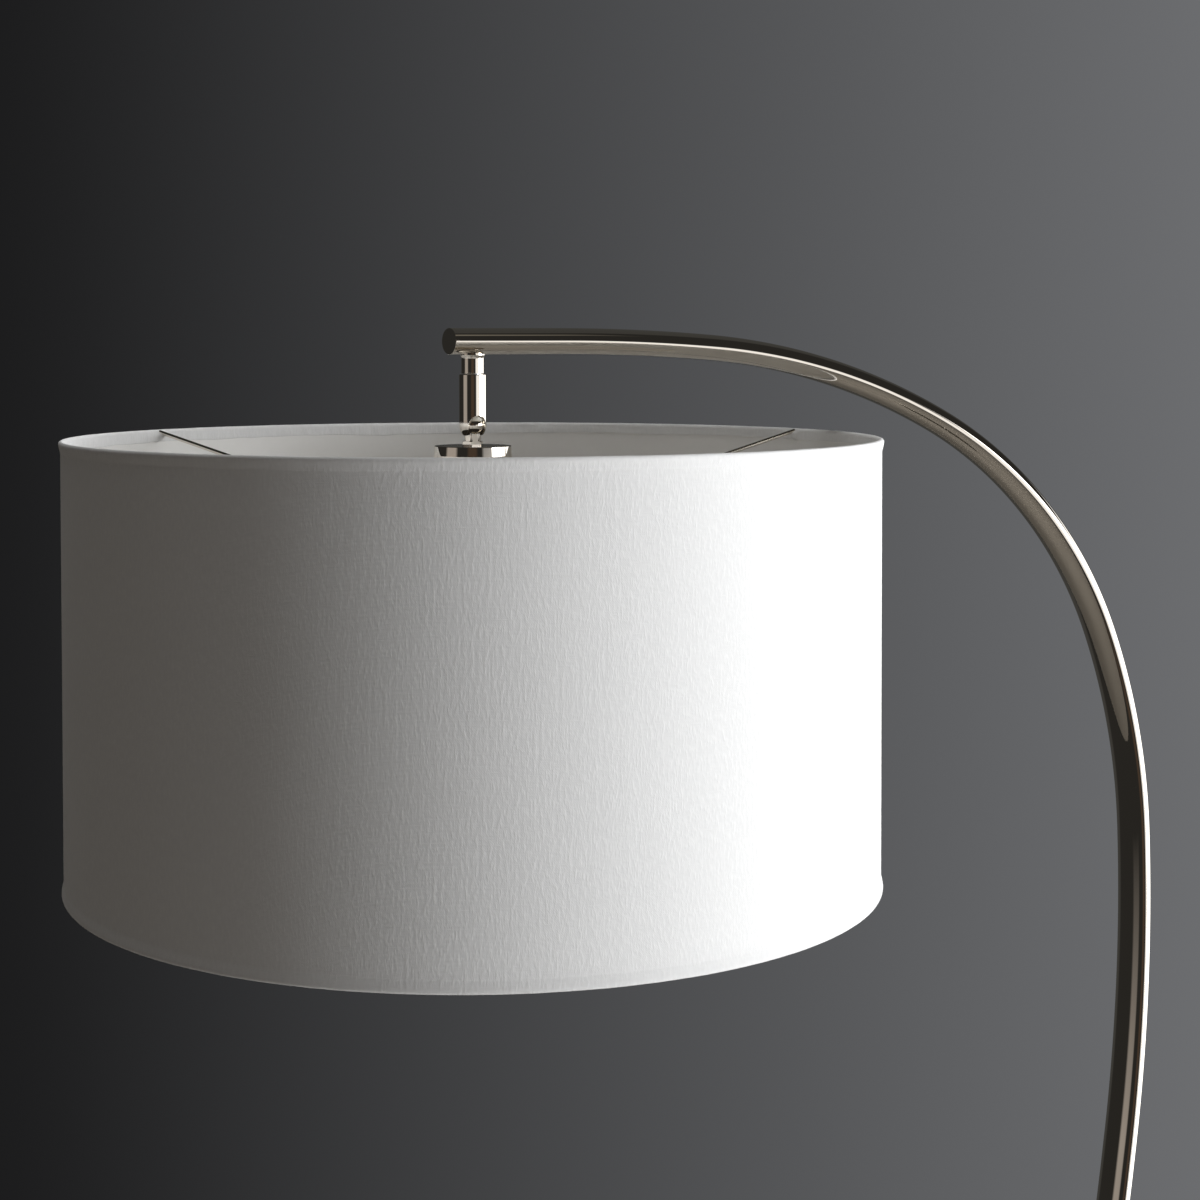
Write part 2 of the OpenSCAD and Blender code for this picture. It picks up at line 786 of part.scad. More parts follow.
module switch_knob() {
    color(black) on_axis(knob_z) rotate([90, 0, 0]) translate([0, 0, cup_d / 2 + knob_gap]) difference() {
        union() {
            cylinder(d = knob_d, h = knob_len - knob_bevel);
            translate([0, 0, knob_len - knob_bevel])
                cylinder(d1 = knob_d, d2 = knob_d - 2 * knob_bevel, h = knob_bevel);
            for (a = [0:30:330])
                rotate([0, 0, a]) translate([knob_d / 2, 0, knob_rib_inset])
                    cylinder(r = knob_rib_r, h = knob_len - 2 * knob_rib_inset);
        }
        translate([0, 0, -1]) cylinder(r = shaft_r, h = knob_bore + 1);
    }
}

base_pad();
base_weight();
base_cover();
inlet_bushing();
lead_connector();
pole_foot();
foot_bolts();
foot_washers();
foot_grub_screws();
lower_pole();
pole_joiner();
joiner_grub_screws();
arm_tube();
arm_end_cap();
swivel_collar();
saddle_washer();
hanger_nipple();
nipple_nut();
nipple_flange();
inner_lead();
swivel_sleeve();
sleeve_plug();
friction_washer();
ball_seat();
seat_spring();
swivel_ball();
ball_lock_nut();
socket_cup();
cup_nut();
switch_body();
socket_body();
screw_shell();
centre_contact();
socket_screws();
socket_lead();
shade_ring_nut();
spider();
top_ring();
bottom_ring();
shade_lining();
shade_fabric();
top_hem();
bottom_hem();
switch_shaft();
switch_knob();
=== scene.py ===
"""Looks for the arc floor lamp: a mirror-bright oval tube, a slotted ball swivel and a white drum shade."""
import json
import math
from contextlib import contextmanager

import bmesh
import bpy
import numpy as np
from mathutils import Matrix, Vector


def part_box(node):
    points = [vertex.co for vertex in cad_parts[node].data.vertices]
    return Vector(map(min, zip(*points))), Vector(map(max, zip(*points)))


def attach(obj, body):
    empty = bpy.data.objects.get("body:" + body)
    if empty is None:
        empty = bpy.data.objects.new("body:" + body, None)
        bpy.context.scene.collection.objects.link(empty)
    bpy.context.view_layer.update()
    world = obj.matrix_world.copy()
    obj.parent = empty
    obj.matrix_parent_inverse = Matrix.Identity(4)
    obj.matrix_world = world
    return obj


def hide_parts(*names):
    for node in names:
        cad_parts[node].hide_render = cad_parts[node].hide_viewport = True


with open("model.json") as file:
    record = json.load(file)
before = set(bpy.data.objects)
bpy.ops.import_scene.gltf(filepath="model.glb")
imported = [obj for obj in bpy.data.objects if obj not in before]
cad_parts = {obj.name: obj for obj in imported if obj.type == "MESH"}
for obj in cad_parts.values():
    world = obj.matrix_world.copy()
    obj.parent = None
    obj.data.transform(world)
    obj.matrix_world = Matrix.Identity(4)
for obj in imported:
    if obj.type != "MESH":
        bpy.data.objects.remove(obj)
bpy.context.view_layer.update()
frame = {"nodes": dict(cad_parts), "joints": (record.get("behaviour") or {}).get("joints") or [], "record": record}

MM = 0.001

# ---------------------------------------------------------------- sizes and places, from the frame

joints = {j["name"]: j for j in frame["joints"]}
SHADE_X, _, SEAM_Z = joints["swivel_turn"]["pos_m"]
BALL_Z = joints["shade_tilt"]["pos_m"][2]
KNOB_Z = joints["switch_turn"]["pos_m"][2]
TILT_AXIS = Vector(joints["shade_tilt"]["axis"])
SLOT_ANGLE = math.atan2(TILT_AXIS.x, -TILT_AXIS.y)
SPIDER_ANGLE = math.radians(11)


def low(node):
    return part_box(node)[0]


def high(node):
    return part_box(node)[1]


def radius_of(node):
    return (high(node).x - low(node).x) / 2


RIM_Z = high("top_hem").z
SHADE_FOOT_Z = low("bottom_hem").z
WALL_R = high("shade_fabric").y
LINING_R = high("shade_lining").y
LINING = 0.5 * MM
RING_WIRE = (high("top_ring").z - low("top_ring").z) / 2
RING_R = high("top_ring").y - RING_WIRE
ARM_Z = (low("arm_end_cap").z + high("arm_end_cap").z) / 2
TUBE_H = high("arm_end_cap").z - low("arm_end_cap").z
TUBE_W = high("arm_end_cap").y - low("arm_end_cap").y
TUBE_WALL = 1.5 * MM
TIP_X = low("arm_end_cap").x
CAP_FACE = 1.5 * MM
JOINT_Z = 840 * MM  # where the bent tube meets the lower pole
FOOT_TOP = 32 * MM  # where the lower pole enters its foot

# The arm runs level past the swivel's axis and then bends down: each bend's radius, and its angle in degrees
STRAIGHT = 52 * MM
BENDS = [(1.140, 4.7), (0.384, 23.5), (0.254, 40.8), (0.405, 18.7), (1.200, 9.3), (3.000, 3.0)]


def add_object(name, data):
    """A new object, linked to the scene."""
    made = bpy.data.objects.new(name, data)
    bpy.context.scene.collection.objects.link(made)
    return made


@contextmanager
def editing(mesh):
    """A mesh opened for editing, and written back at the end."""
    work = bmesh.new()
    work.from_mesh(mesh)
    yield work
    work.to_mesh(mesh)
    work.free()


# ---------------------------------------------------------------- camera

def make_camera():
    """A long lens a little above the shade's rim, with the arc's plane turned away by 19 degrees."""
    turn = math.radians(19)
    side, back, above = 0.0274, 1.2027, 0.0506  # metres, from the middle of the shade's rim
    pitch = math.radians(1.61)
    roll = math.radians(-0.12)
    data = bpy.data.cameras.new("camera")
    data.sensor_width = 36
    data.lens = 64
    data.shift_x = 0.0655
    data.shift_y = -0.161
    data.clip_start = 0.05
    camera = add_object("camera", data)
    x = side * math.cos(turn) - back * math.sin(turn)
    y = -side * math.sin(turn) - back * math.cos(turn)
    camera.location = (SHADE_X + x, y, RIM_Z + above)
    level = Matrix.Rotation(-turn, 4, "Z") @ Matrix.Rotation(math.radians(90) - pitch, 4, "X")
    camera.rotation_euler = (level @ Matrix.Rotation(roll, 4, "Z")).to_euler()
    bpy.context.scene.camera = camera


# ---------------------------------------------------------------- shader helpers

def node_group(name, inputs, outputs):
    """An empty shader group with float inputs and named outputs, and its input and output nodes."""
    group = bpy.data.node_groups.new(name, "ShaderNodeTree")
    for label, value in inputs:
        socket = group.interface.new_socket(label, in_out="INPUT", socket_type="NodeSocketFloat")
        socket.default_value = value
    for label, kind in outputs:
        group.interface.new_socket(label, in_out="OUTPUT", socket_type=kind)
    return group, group.nodes.new("NodeGroupInput"), group.nodes.new("NodeGroupOutput")


def add(tree, kind, **settings):
    """A node with its properties and its unlinked inputs set; inputs are given as in_NAME or in_NUMBER."""
    node = tree.nodes.new(kind)
    for key, value in settings.items():
        if key.startswith("in_"):
            label = key[3:]
            socket = node.inputs[int(label)] if label.isdigit() else node.inputs[label.replace("_", " ")]
            socket.default_value = value
        else:
            setattr(node, key, value)
    return node


def maths(tree, operation, a, b=None, c=None):
    """A Math node; each operand is a socket or a number."""
    node = tree.nodes.new("ShaderNodeMath")
    node.operation = operation
    for i, value in enumerate((a, b, c)):
        if value is None:
            continue
        if isinstance(value, (int, float)):
            node.inputs[i].default_value = value
        else:
            tree.links.new(value, node.inputs[i])
    return node.outputs[0]


def blend_colour(tree, factor, one, two):
    """Mixes two colours by a mask; each colour is a socket or an RGBA value."""
    node = add(tree, "ShaderNodeMix", data_type="RGBA")
    tree.links.new(factor, node.inputs["Factor"])
    for socket, value in ((node.inputs[6], one), (node.inputs[7], two)):
        if isinstance(value, (tuple, list)):
            socket.default_value = value
        else:
            tree.links.new(value, socket)
    return node.outputs[2]


def noise(tree, vector, scale, detail=3.0, roughness=0.5):
    node = add(tree, "ShaderNodeTexNoise", in_Scale=scale, in_Detail=detail, in_Roughness=roughness)
    tree.links.new(vector, node.inputs["Vector"])
    return node.outputs["Fac"]


def stretched_noise(tree, vector, scale, detail, roughness=0.5):
    """Noise on a map that is scaled by a different amount each way."""
    mapping = add(tree, "ShaderNodeMapping", vector_type="POINT")
    mapping.inputs["Scale"].default_value = scale
    tree.links.new(vector, mapping.inputs["Vector"])
    return noise(tree, mapping.outputs[0], 1.0, detail, roughness)


def spread(tree, value, from_low, from_high, to_low, to_high):
    """Maps one range to another, held within it; each end is a socket or a number."""
    node = add(tree, "ShaderNodeMapRange", clamp=True)
    tree.links.new(value, node.inputs[0])
    for i, number in enumerate((from_low, from_high, to_low, to_high)):
        if isinstance(number, (int, float)):
            node.inputs[i + 1].default_value = number
        else:
            tree.links.new(number, node.inputs[i + 1])
    return node.outputs[0]


def make_handling_group():
    """Faint marks of polishing and handling: a roughness that varies, and a very shallow height."""
    group, given, put = node_group(
        "handling", [("Clean", 0.05), ("Marked", 0.12), ("Size", 30.0)],
        [("Roughness", "NodeSocketFloat"), ("Height", "NodeSocketFloat")])
    place = add(group, "ShaderNodeTexCoord").outputs["Object"]
    broad = add(group, "ShaderNodeTexNoise", in_Detail=4.0, in_Roughness=0.6)
    group.links.new(place, broad.inputs["Vector"])
    group.links.new(given.outputs["Size"], broad.inputs["Scale"])
    fine = noise(group, place, 900.0, 2.0)
    patch = spread(group, broad.outputs["Fac"], 0.45, 0.75, 0.0, 1.0)
    mixed = maths(group, "MULTIPLY", patch, maths(group, "ADD", maths(group, "MULTIPLY", fine, 0.5), 0.5))
    rough = spread(group, mixed, 0.0, 1.0, given.outputs["Clean"], given.outputs["Marked"])
    group.links.new(rough, put.inputs["Roughness"])
    group.links.new(maths(group, "ADD", broad.outputs["Fac"], maths(group, "MULTIPLY", fine, 0.05)),
                    put.inputs["Height"])
    return group


def make_grain_group():
    """An even grain at two sizes, for castings, mouldings and rubber."""
    group, given, put = node_group(
        "grain", [("Size", 400.0), ("Contrast", 0.3)],
        [("Mask", "NodeSocketFloat"), ("Height", "NodeSocketFloat")])
    place = add(group, "ShaderNodeTexCoord").outputs["Object"]
    fine = add(group, "ShaderNodeTexNoise", in_Detail=3.0, in_Roughness=0.6)
    group.links.new(place, fine.inputs["Vector"])
    group.links.new(given.outputs["Size"], fine.inputs["Scale"])
    broad = noise(group, place, 25.0, 3.0)
    both = maths(group, "ADD", maths(group, "MULTIPLY", fine.outputs["Fac"], 0.6),
                 maths(group, "MULTIPLY", broad, 0.4))
    centred = maths(group, "SUBTRACT", both, 0.5)
    mask = maths(group, "ADD", maths(group, "MULTIPLY", centred, given.outputs["Contrast"]), 0.5)
    group.links.new(mask, put.inputs["Mask"])
    group.links.new(fine.outputs["Fac"], put.inputs["Height"])
    return group


def make_weave_group():
    """Plain weave with slubs, on the cloth's own map in metres: u runs round the shade and v up it."""
    group, given, put = node_group(
        "weave", [("Threads", 1900.0), ("Slub", 0.5)],
        [("Shade", "NodeSocketFloat"), ("Height", "NodeSocketFloat"), ("Slubs", "NodeSocketFloat")])
    cloth = add(group, "ShaderNodeUVMap", uv_map="cloth").outputs["UV"]
    split = add(group, "ShaderNodeSeparateXYZ")
    group.links.new(cloth, split.inputs[0])
    u, v = split.outputs[0], split.outputs[1]
    drift = stretched_noise(group, cloth, (180.0, 12.0, 1.0), 2.0)
    turns = 2 * math.pi
    warp_at = maths(group, "MULTIPLY", maths(group, "MULTIPLY", u, given.outputs["Threads"]), turns)
    warp_at = maths(group, "ADD", warp_at, maths(group, "MULTIPLY", drift, 5.0))
    weft_at = maths(group, "MULTIPLY", maths(group, "MULTIPLY", v, given.outputs["Threads"]), turns * 0.9)
    weft_at = maths(group, "ADD", weft_at, maths(group, "MULTIPLY", drift, 2.0))
    warp = maths(group, "SINE", warp_at)
    weft = maths(group, "SINE", weft_at)
    cross = maths(group, "MULTIPLY", maths(group, "SINE", maths(group, "MULTIPLY", warp_at, 0.5)),
                  maths(group, "SINE", maths(group, "MULTIPLY", weft_at, 0.5)))
    threads = maths(group, "ADD", maths(group, "MULTIPLY", warp, 0.5), maths(group, "MULTIPLY", weft, 0.3))
    threads = maths(group, "ADD", threads, maths(group, "MULTIPLY", cross, 0.4))
    slubs = stretched_noise(group, cloth, (620.0, 210.0, 1.0), 3.0, 0.6)
    bars = stretched_noise(group, cloth, (90.0, 900.0, 1.0), 2.0)
    slub_mask = spread(group, slubs, 0.42, 0.72, 0.0, 1.0)
    bar_mask = spread(group, bars, 0.5, 0.8, 0.0, 0.5)
    both = maths(group, "MAXIMUM", slub_mask, bar_mask)
    shade = maths(group, "ADD", maths(group, "MULTIPLY", threads, 0.18),
                  maths(group, "MULTIPLY", both, given.outputs["Slub"]))
    group.links.new(spread(group, shade, -0.3, 0.8, 0.0, 1.0), put.inputs["Shade"])
    group.links.new(maths(group, "ADD", maths(group, "MULTIPLY", threads, 0.35), both), put.inputs["Height"])
    group.links.new(both, put.inputs["Slubs"])
    return group


HANDLING = make_handling_group()
GRAIN = make_grain_group()
WEAVE = make_weave_group()


def surface(name, colour, metallic=0.0, **sockets):
    """A material with one Principled BSDF; constants go on the shader's own sockets."""
    made = bpy.data.materials.new(name)
    made.use_nodes = True
    tree = made.node_tree
    shader = next(n for n in tree.nodes if n.type == "BSDF_PRINCIPLED")
    shader.inputs["Base Color"].default_value = (*colour, 1)
    shader.inputs["Metallic"].default_value = metallic
    for label, value in sockets.items():
        shader.inputs[label.replace("_", " ")].default_value = value
    return made, tree, shader


def use_group(tree, group, **values):
    node = add(tree, "ShaderNodeGroup", node_tree=group)
    for label, value in values.items():
        node.inputs[label.replace("_", " ")].default_value = value
    return node


def raise_surface(tree, shader, height, distance, strength=1.0):
    """Feeds a height to the shader's Normal through a Bump node; distance is in metres."""
    bump = add(tree, "ShaderNodeBump", in_Strength=strength, in_Distance=distance)
    tree.links.new(height, bump.inputs["Height"])
    tree.links.new(bump.outputs[0], shader.inputs["Normal"])


def plated_metal(name, colour, clean, marked, waviness, patch):
    """A metal with marks of handling in its roughness and a trace of waviness, in metres, under the plate."""
    made, tree, shader = surface(name, colour, metallic=1.0)
    marks = use_group(tree, HANDLING, Clean=clean, Marked=marked, Size=patch)
    tree.links.new(marks.outputs["Roughness"], shader.inputs["Roughness"])
    raise_surface(tree, shader, marks.outputs["Height"], waviness)
    tint = blend_colour(tree, marks.outputs["Height"], (*colour, 1), (*[c * 0.93 for c in colour], 1))
    tree.links.new(tint, shader.inputs["Base Color"])
    return made


def moulded(name, dark, pale, roughness, grain_size, depth, **sockets):
    """A moulded or cast surface: grain in its colour, its roughness and its height, which is in metres."""
    made, tree, shader = surface(name, dark, **sockets)
    grain = use_group(tree, GRAIN, Size=grain_size, Contrast=0.6)
    colour = blend_colour(tree, grain.outputs["Mask"], (*dark, 1), (*pale, 1))
    tree.links.new(colour, shader.inputs["Base Color"])
    rough = spread(tree, grain.outputs["Mask"], 0.2, 0.8, roughness - 0.08, roughness + 0.08)
    tree.links.new(rough, shader.inputs["Roughness"])
    raise_surface(tree, shader, grain.outputs["Height"], depth)
    return made


def woven(name, thread, gap, slub_strength):
    """White slubbed cloth: the weave shades its colour and stands up in the bump."""
    made, tree, shader = surface(name, thread, Sheen_Weight=0.15, Sheen_Roughness=0.4)
    shader.inputs["Specular IOR Level"].default_value = 0.3
    weave = use_group(tree, WEAVE, Threads=1900.0, Slub=slub_strength)
    colour = blend_colour(tree, weave.outputs["Shade"], (*gap, 1), (*thread, 1))
    tree.links.new(colour, shader.inputs["Base Color"])
    rough = spread(tree, weave.outputs["Slubs"], 0.0, 1.0, 0.85, 0.7)
    tree.links.new(rough, shader.inputs["Roughness"])
    raise_surface(tree, shader, weave.outputs["Height"], 0.00012, strength=0.6)
    return made


MATERIALS = {
    "polished_nickel": plated_metal("polished_nickel", (0.76, 0.71, 0.64), clean=0.02, marked=0.05,
                                    waviness=0.0000006, patch=22.0),
    "zinc_steel": plated_metal("zinc_steel", (0.58, 0.60, 0.63), clean=0.28, marked=0.45,
                               waviness=0.00002, patch=120.0),
    "brass": plated_metal("brass", (0.72, 0.50, 0.20), clean=0.16, marked=0.32,
                          waviness=0.00001, patch=90.0),
    "cast_iron": moulded("cast_iron", (0.018, 0.018, 0.020), (0.05, 0.05, 0.052),
                         roughness=0.6, grain_size=260.0, depth=0.0003, Metallic=0.6),
    "nylon": moulded("nylon", (0.62, 0.59, 0.50), (0.74, 0.71, 0.62),
                     roughness=0.42, grain_size=500.0, depth=0.00003),
    "black_phenolic": moulded("black_phenolic", (0.008, 0.008, 0.008), (0.02, 0.019, 0.018),
                              roughness=0.24, grain_size=600.0, depth=0.00002, Coat_Weight=0.3),
    "black_rubber": moulded("black_rubber", (0.012, 0.012, 0.012), (0.035, 0.034, 0.033),
                            roughness=0.75, grain_size=900.0, depth=0.0001),
    "black_pvc": moulded("black_pvc", (0.01, 0.01, 0.01), (0.025, 0.025, 0.025),
                         roughness=0.4, grain_size=300.0, depth=0.00003),
    "white_linen": woven("white_linen", thread=(0.88, 0.88, 0.875), gap=(0.73, 0.73, 0.73),
                         slub_strength=0.3),
    "white_styrene": moulded("white_styrene", (0.80, 0.79, 0.765), (0.86, 0.85, 0.83),
                             roughness=0.38, grain_size=200.0, depth=0.00002),
}


# ---------------------------------------------------------------- mesh helpers

def place(name, mesh, body, slot, stands_for=()):
    """Links a finished mesh, gives it its finish and rides it on its body."""
    piece = add_object(name, mesh)
    if not mesh.materials:
        mesh.materials.append(MATERIALS[slot])
    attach(piece, body)
    if stands_for:
        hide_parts(*stands_for)
    return piece


def face_outwards(mesh):
    """Turns every face of a closed mesh outwards."""
    with editing(mesh) as work:
        bmesh.ops.recalc_face_normals(work, faces=work.faces)


def close_up(mesh):
    """Merges doubles and turns every face outwards."""
    with editing(mesh) as work:
        bmesh.ops.remove_doubles(work, verts=work.verts, dist=1e-6)
        bmesh.ops.dissolve_degenerate(work, edges=work.edges, dist=1e-7)
        bmesh.ops.recalc_face_normals(work, faces=work.faces)


def smooth(mesh, degrees=35):
    """Smooth shading, with sharp edges where faces meet at more than an angle."""
    mesh.shade_smooth()
    mesh.set_sharp_from_angle(angle=math.radians(degrees))


def from_lists(name, points, faces):
    mesh = bpy.data.meshes.new(name)
    mesh.from_pydata([tuple(p) for p in points], [], [tuple(f) for f in faces])
    mesh.update()
    return mesh


def quads(rows, row, closed):
    """Faces between neighbouring rings of points, each a closed ring of the same count."""
    faces = []
    for s in range(rows if closed else rows - 1):
        t = (s + 1) % rows
        for i in range(row):
            j = (i + 1) % row
            faces.append((s * row + i, s * row + j, t * row + j, t * row + i))
    return faces


def arc(centre, radius, start, end, steps):
    """Points of an arc in an outline, by angle in degrees from the outward direction."""
    found = []
    for i in range(steps + 1):
        a = math.radians(start + (end - start) * i / steps)
        found.append((centre[0] + radius * math.cos(a), centre[1] + radius * math.sin(a)))
    return found


def held(path, closed=True):
    """Adds a point near each end of every long step, so that shading keeps flat stretches flat."""
    close, long = 0.1 * MM, 0.6 * MM
    found = []
    for i, start in enumerate(path):
        found.append(start)
        if i + 1 == len(path) and not closed:
            break
        end = path[(i + 1) % len(path)]
        run = math.dist(start, end)
        if run > long:
            for share in (close / run, 1 - close / run):
                found.append(tuple(a + (b - a) * share for a, b in zip(start, end)))
    return found


def lathe(name, outline, around, x=SHADE_X):
    """Turns a closed outline of radius and height about an upright axis at x, which is the shade's own."""
    points, faces = [], []
    outline = held(outline)
    count = len(outline)
    for i in range(around):
        a = 2 * math.pi * i / around
        for r, z in outline:
            points.append((x + r * math.cos(a), r * math.sin(a), z))
    for i in range(around):
        j = (i + 1) % around
        for k in range(count):
            n = (k + 1) % count
            faces.append((i * count + k, j * count + k, j * count + n, i * count + n))
    mesh = from_lists(name, points, faces)
    close_up(mesh)
    smooth(mesh)
    return mesh


def ring_outline(inner, outer, bottom, top, edge):
    """A ring's section with rounded outer corners."""
    return [(inner, bottom), *arc((outer - edge, bottom + edge), edge, -90, 0, 6),
            *arc((outer - edge, top - edge), edge, 0, 90, 6), (inner, top)]


def cad_copy(name, node, body, slot):
    """A working copy of a CAD node: merged, smooth on its curves, with its edges eased."""
    mesh = frame["nodes"][node].data.copy()
    mesh.name = name
    mesh.materials.clear()
    with editing(mesh) as work:
        bmesh.ops.remove_doubles(work, verts=work.verts, dist=1e-6)
        bmesh.ops.dissolve_degenerate(work, edges=work.edges, dist=1e-6)
        bmesh.ops.dissolve_limit(work, angle_limit=math.radians(0.5), verts=work.verts, edges=work.edges)
    smooth(mesh, 30)
    bevel = place(name, mesh, body, slot, [node]).modifiers.new("eased_edges", "BEVEL")
    bevel.width = 0.15 * MM
    bevel.segments = 2
    bevel.limit_method = "ANGLE"
    bevel.angle_limit = math.radians(40)
    bevel.harden_normals = True


# ---------------------------------------------------------------- geometry node trees

def geometry_tree(name, inputs):
    """A geometry tree with a geometry input and output and named float or integer inputs."""
    tree = bpy.data.node_groups.new(name, "GeometryNodeTree")
    tree.interface.new_socket("Geometry", in_out="INPUT", socket_type="NodeSocketGeometry")
    tree.interface.new_socket("Geometry", in_out="OUTPUT", socket_type="NodeSocketGeometry")
    for label, kind, value in inputs:
        socket = tree.interface.new_socket(label, in_out="INPUT", socket_type=kind)
        if value is not None:
            socket.default_value = value
    return tree, tree.nodes.new("NodeGroupInput"), tree.nodes.new("NodeGroupOutput")


def run_tree(tree, source, name, values):
    """Runs a geometry tree on a helper object, which it removes, and returns the result as a plain mesh."""
    modifier = source.modifiers.new("build", "NODES")
    modifier.node_group = tree
    for item in tree.interface.items_tree:
        if item.item_type == "SOCKET" and item.in_out == "INPUT" and item.name in values:
            modifier[item.identifier] = values[item.name]
    graph = bpy.context.evaluated_depsgraph_get()
    mesh = bpy.data.meshes.new_from_object(source.evaluated_get(graph), depsgraph=graph)
    mesh.name = name
    bpy.data.objects.remove(source)
    return mesh


def wire_up(tree, *pairs):
    """Links each output to its input, in order."""
    for source, socket in pairs:
        tree.links.new(source, socket)


def end_tree(tree, put, geometry, given):
    """Realizes instances, sets the finish and ends the tree."""
    real = add(tree, "GeometryNodeRealizeInstances")
    finish = add(tree, "GeometryNodeSetMaterial")
    wire_up(tree, (geometry, real.inputs[0]), (real.outputs[0], finish.inputs["Geometry"]),
            (given.outputs["Finish"], finish.inputs["Material"]), (finish.outputs[0], put.inputs[0]))


def make_sweep_tree():
    """Sweeps an oval section along a path: outer wall only, open at both ends."""
    tree, given, put = geometry_tree("oval_sweep", [
        ("Height", "NodeSocketFloat", 0.015), ("Width", "NodeSocketFloat", 0.027),
        ("Around", "NodeSocketInt", 64), ("Finish", "NodeSocketMaterial", None)])
    circle = add(tree, "GeometryNodeCurvePrimitiveCircle", in_Radius=0.5)
    size = add(tree, "ShaderNodeCombineXYZ")
    shaped = add(tree, "GeometryNodeTransform")
    sweep = add(tree, "GeometryNodeCurveToMesh")
    wire_up(tree, (given.outputs["Around"], circle.inputs["Resolution"]),
            (given.outputs["Width"], size.inputs[0]), (given.outputs["Height"], size.inputs[1]),
            (circle.outputs[0], shaped.inputs["Geometry"]), (size.outputs[0], shaped.inputs["Scale"]),
            (given.outputs["Geometry"], sweep.inputs["Curve"]),
            (shaped.outputs[0], sweep.inputs["Profile Curve"]))
    end_tree(tree, put, sweep.outputs[0], given)
    return tree


def make_rib_tree():
    """Stands round ribs on a circle, as on a knob or a clamp ring."""
    tree, given, put = geometry_tree("ribs_round_a_rim", [
        ("Count", "NodeSocketInt", 24), ("Rim", "NodeSocketFloat", 0.02), ("Rib", "NodeSocketFloat", 0.0006),
        ("Length", "NodeSocketFloat", 0.008), ("Finish", "NodeSocketMaterial", None)])
    rim = add(tree, "GeometryNodeMeshCircle")
    rib = add(tree, "GeometryNodeMeshCylinder", in_Vertices=12, in_Side_Segments=1)
    spots = add(tree, "GeometryNodeInstanceOnPoints")
    joined = add(tree, "GeometryNodeJoinGeometry")
    wire_up(tree, (given.outputs["Count"], rim.inputs["Vertices"]),
            (given.outputs["Rim"], rim.inputs["Radius"]), (given.outputs["Rib"], rib.inputs["Radius"]),
            (given.outputs["Length"], rib.inputs["Depth"]), (rim.outputs[0], spots.inputs["Points"]),
            (rib.outputs["Mesh"], spots.inputs["Instance"]),
            (given.outputs["Geometry"], joined.inputs[0]), (spots.outputs[0], joined.inputs[0]))
    end_tree(tree, put, joined.outputs[0], given)
    return tree


SWEEP = make_sweep_tree()
RIBS = make_rib_tree()


# ---------------------------------------------------------------- arm and pole

def centreline():
    """The tube's centreline from the tip to the foot: points, with the heading down from level."""
    level_steps, pole_steps = 16, 60
    x, z, heading = SHADE_X + STRAIGHT, ARM_Z, 0.0
    line = [(TIP_X + (x - TIP_X) * i / level_steps, z, 0.0) for i in range(level_steps + 1)]
    for radius, degrees in BENDS:
        steps = max(6, round(degrees * 2))
        centre = (x - radius * math.sin(heading), z - radius * math.cos(heading))
        for i in range(1, steps + 1):
            a = heading + math.radians(degrees) * i / steps
            line.append((centre[0] + radius * math.sin(a), centre[1] + radius * math.cos(a), a))
        x, z, heading = line[-1]
    run = (z - FOOT_TOP) / math.sin(heading)
    for i in range(1, pole_steps + 1):
        down = run * i / pole_steps
        line.append((x + down * math.cos(heading), z - down * math.sin(heading), heading))
    return line


def on_pole(line, height):
    """The point of the straight pole at a height, with the pole's heading."""
    x, z, heading = line[-1]
    return (x + (z - height) * math.cos(heading) / math.sin(heading), height, heading)


def path_object(line):
    data = bpy.data.curves.new("path", "CURVE")
    data.dimensions = "3D"
    spline = data.splines.new("POLY")
    spline.points.add(len(line) - 1)
    for point, (x, z, _) in zip(spline.points, line):
        point.co = (x, 0, z, 1)
    return add_object("path", data)


def oval_tube(name, line, stands_for):
    """A hollow oval tube along a line, with a real wall."""
    mesh = run_tree(SWEEP, path_object(line), name, {
        "Height": TUBE_H, "Width": TUBE_W, "Around": 72, "Finish": MATERIALS["polished_nickel"]})
    close_up(mesh)
    mesh.shade_smooth()
    piece = place(name, mesh, "stand", "polished_nickel", stands_for)
    wall = piece.modifiers.new("wall", "SOLIDIFY")
    wall.thickness = TUBE_WALL
    wall.offset = -1
    return piece


def make_arm():
    """The bent upper tube and the straight lower one, which meet at the joint."""
    line = centreline()
    start = TIP_X + CAP_FACE
    close, gap = 0.15 * MM, 0.2 * MM
    arm = [(start, ARM_Z, 0.0), (start + close, ARM_Z, 0.0)]
    arm += [p for p in line if p[1] > JOINT_Z + close and p[0] > start + close]
    arm += [on_pole(line, JOINT_Z + close), on_pole(line, JOINT_Z)]
    oval_tube("arm_tube_bright", arm, ["arm_tube"])
    pole = [on_pole(line, JOINT_Z - gap), on_pole(line, JOINT_Z - gap - close)]
    pole += [p for p in line if p[1] < JOINT_Z - gap - close]
    oval_tube("lower_pole_bright", pole, ["lower_pole"])


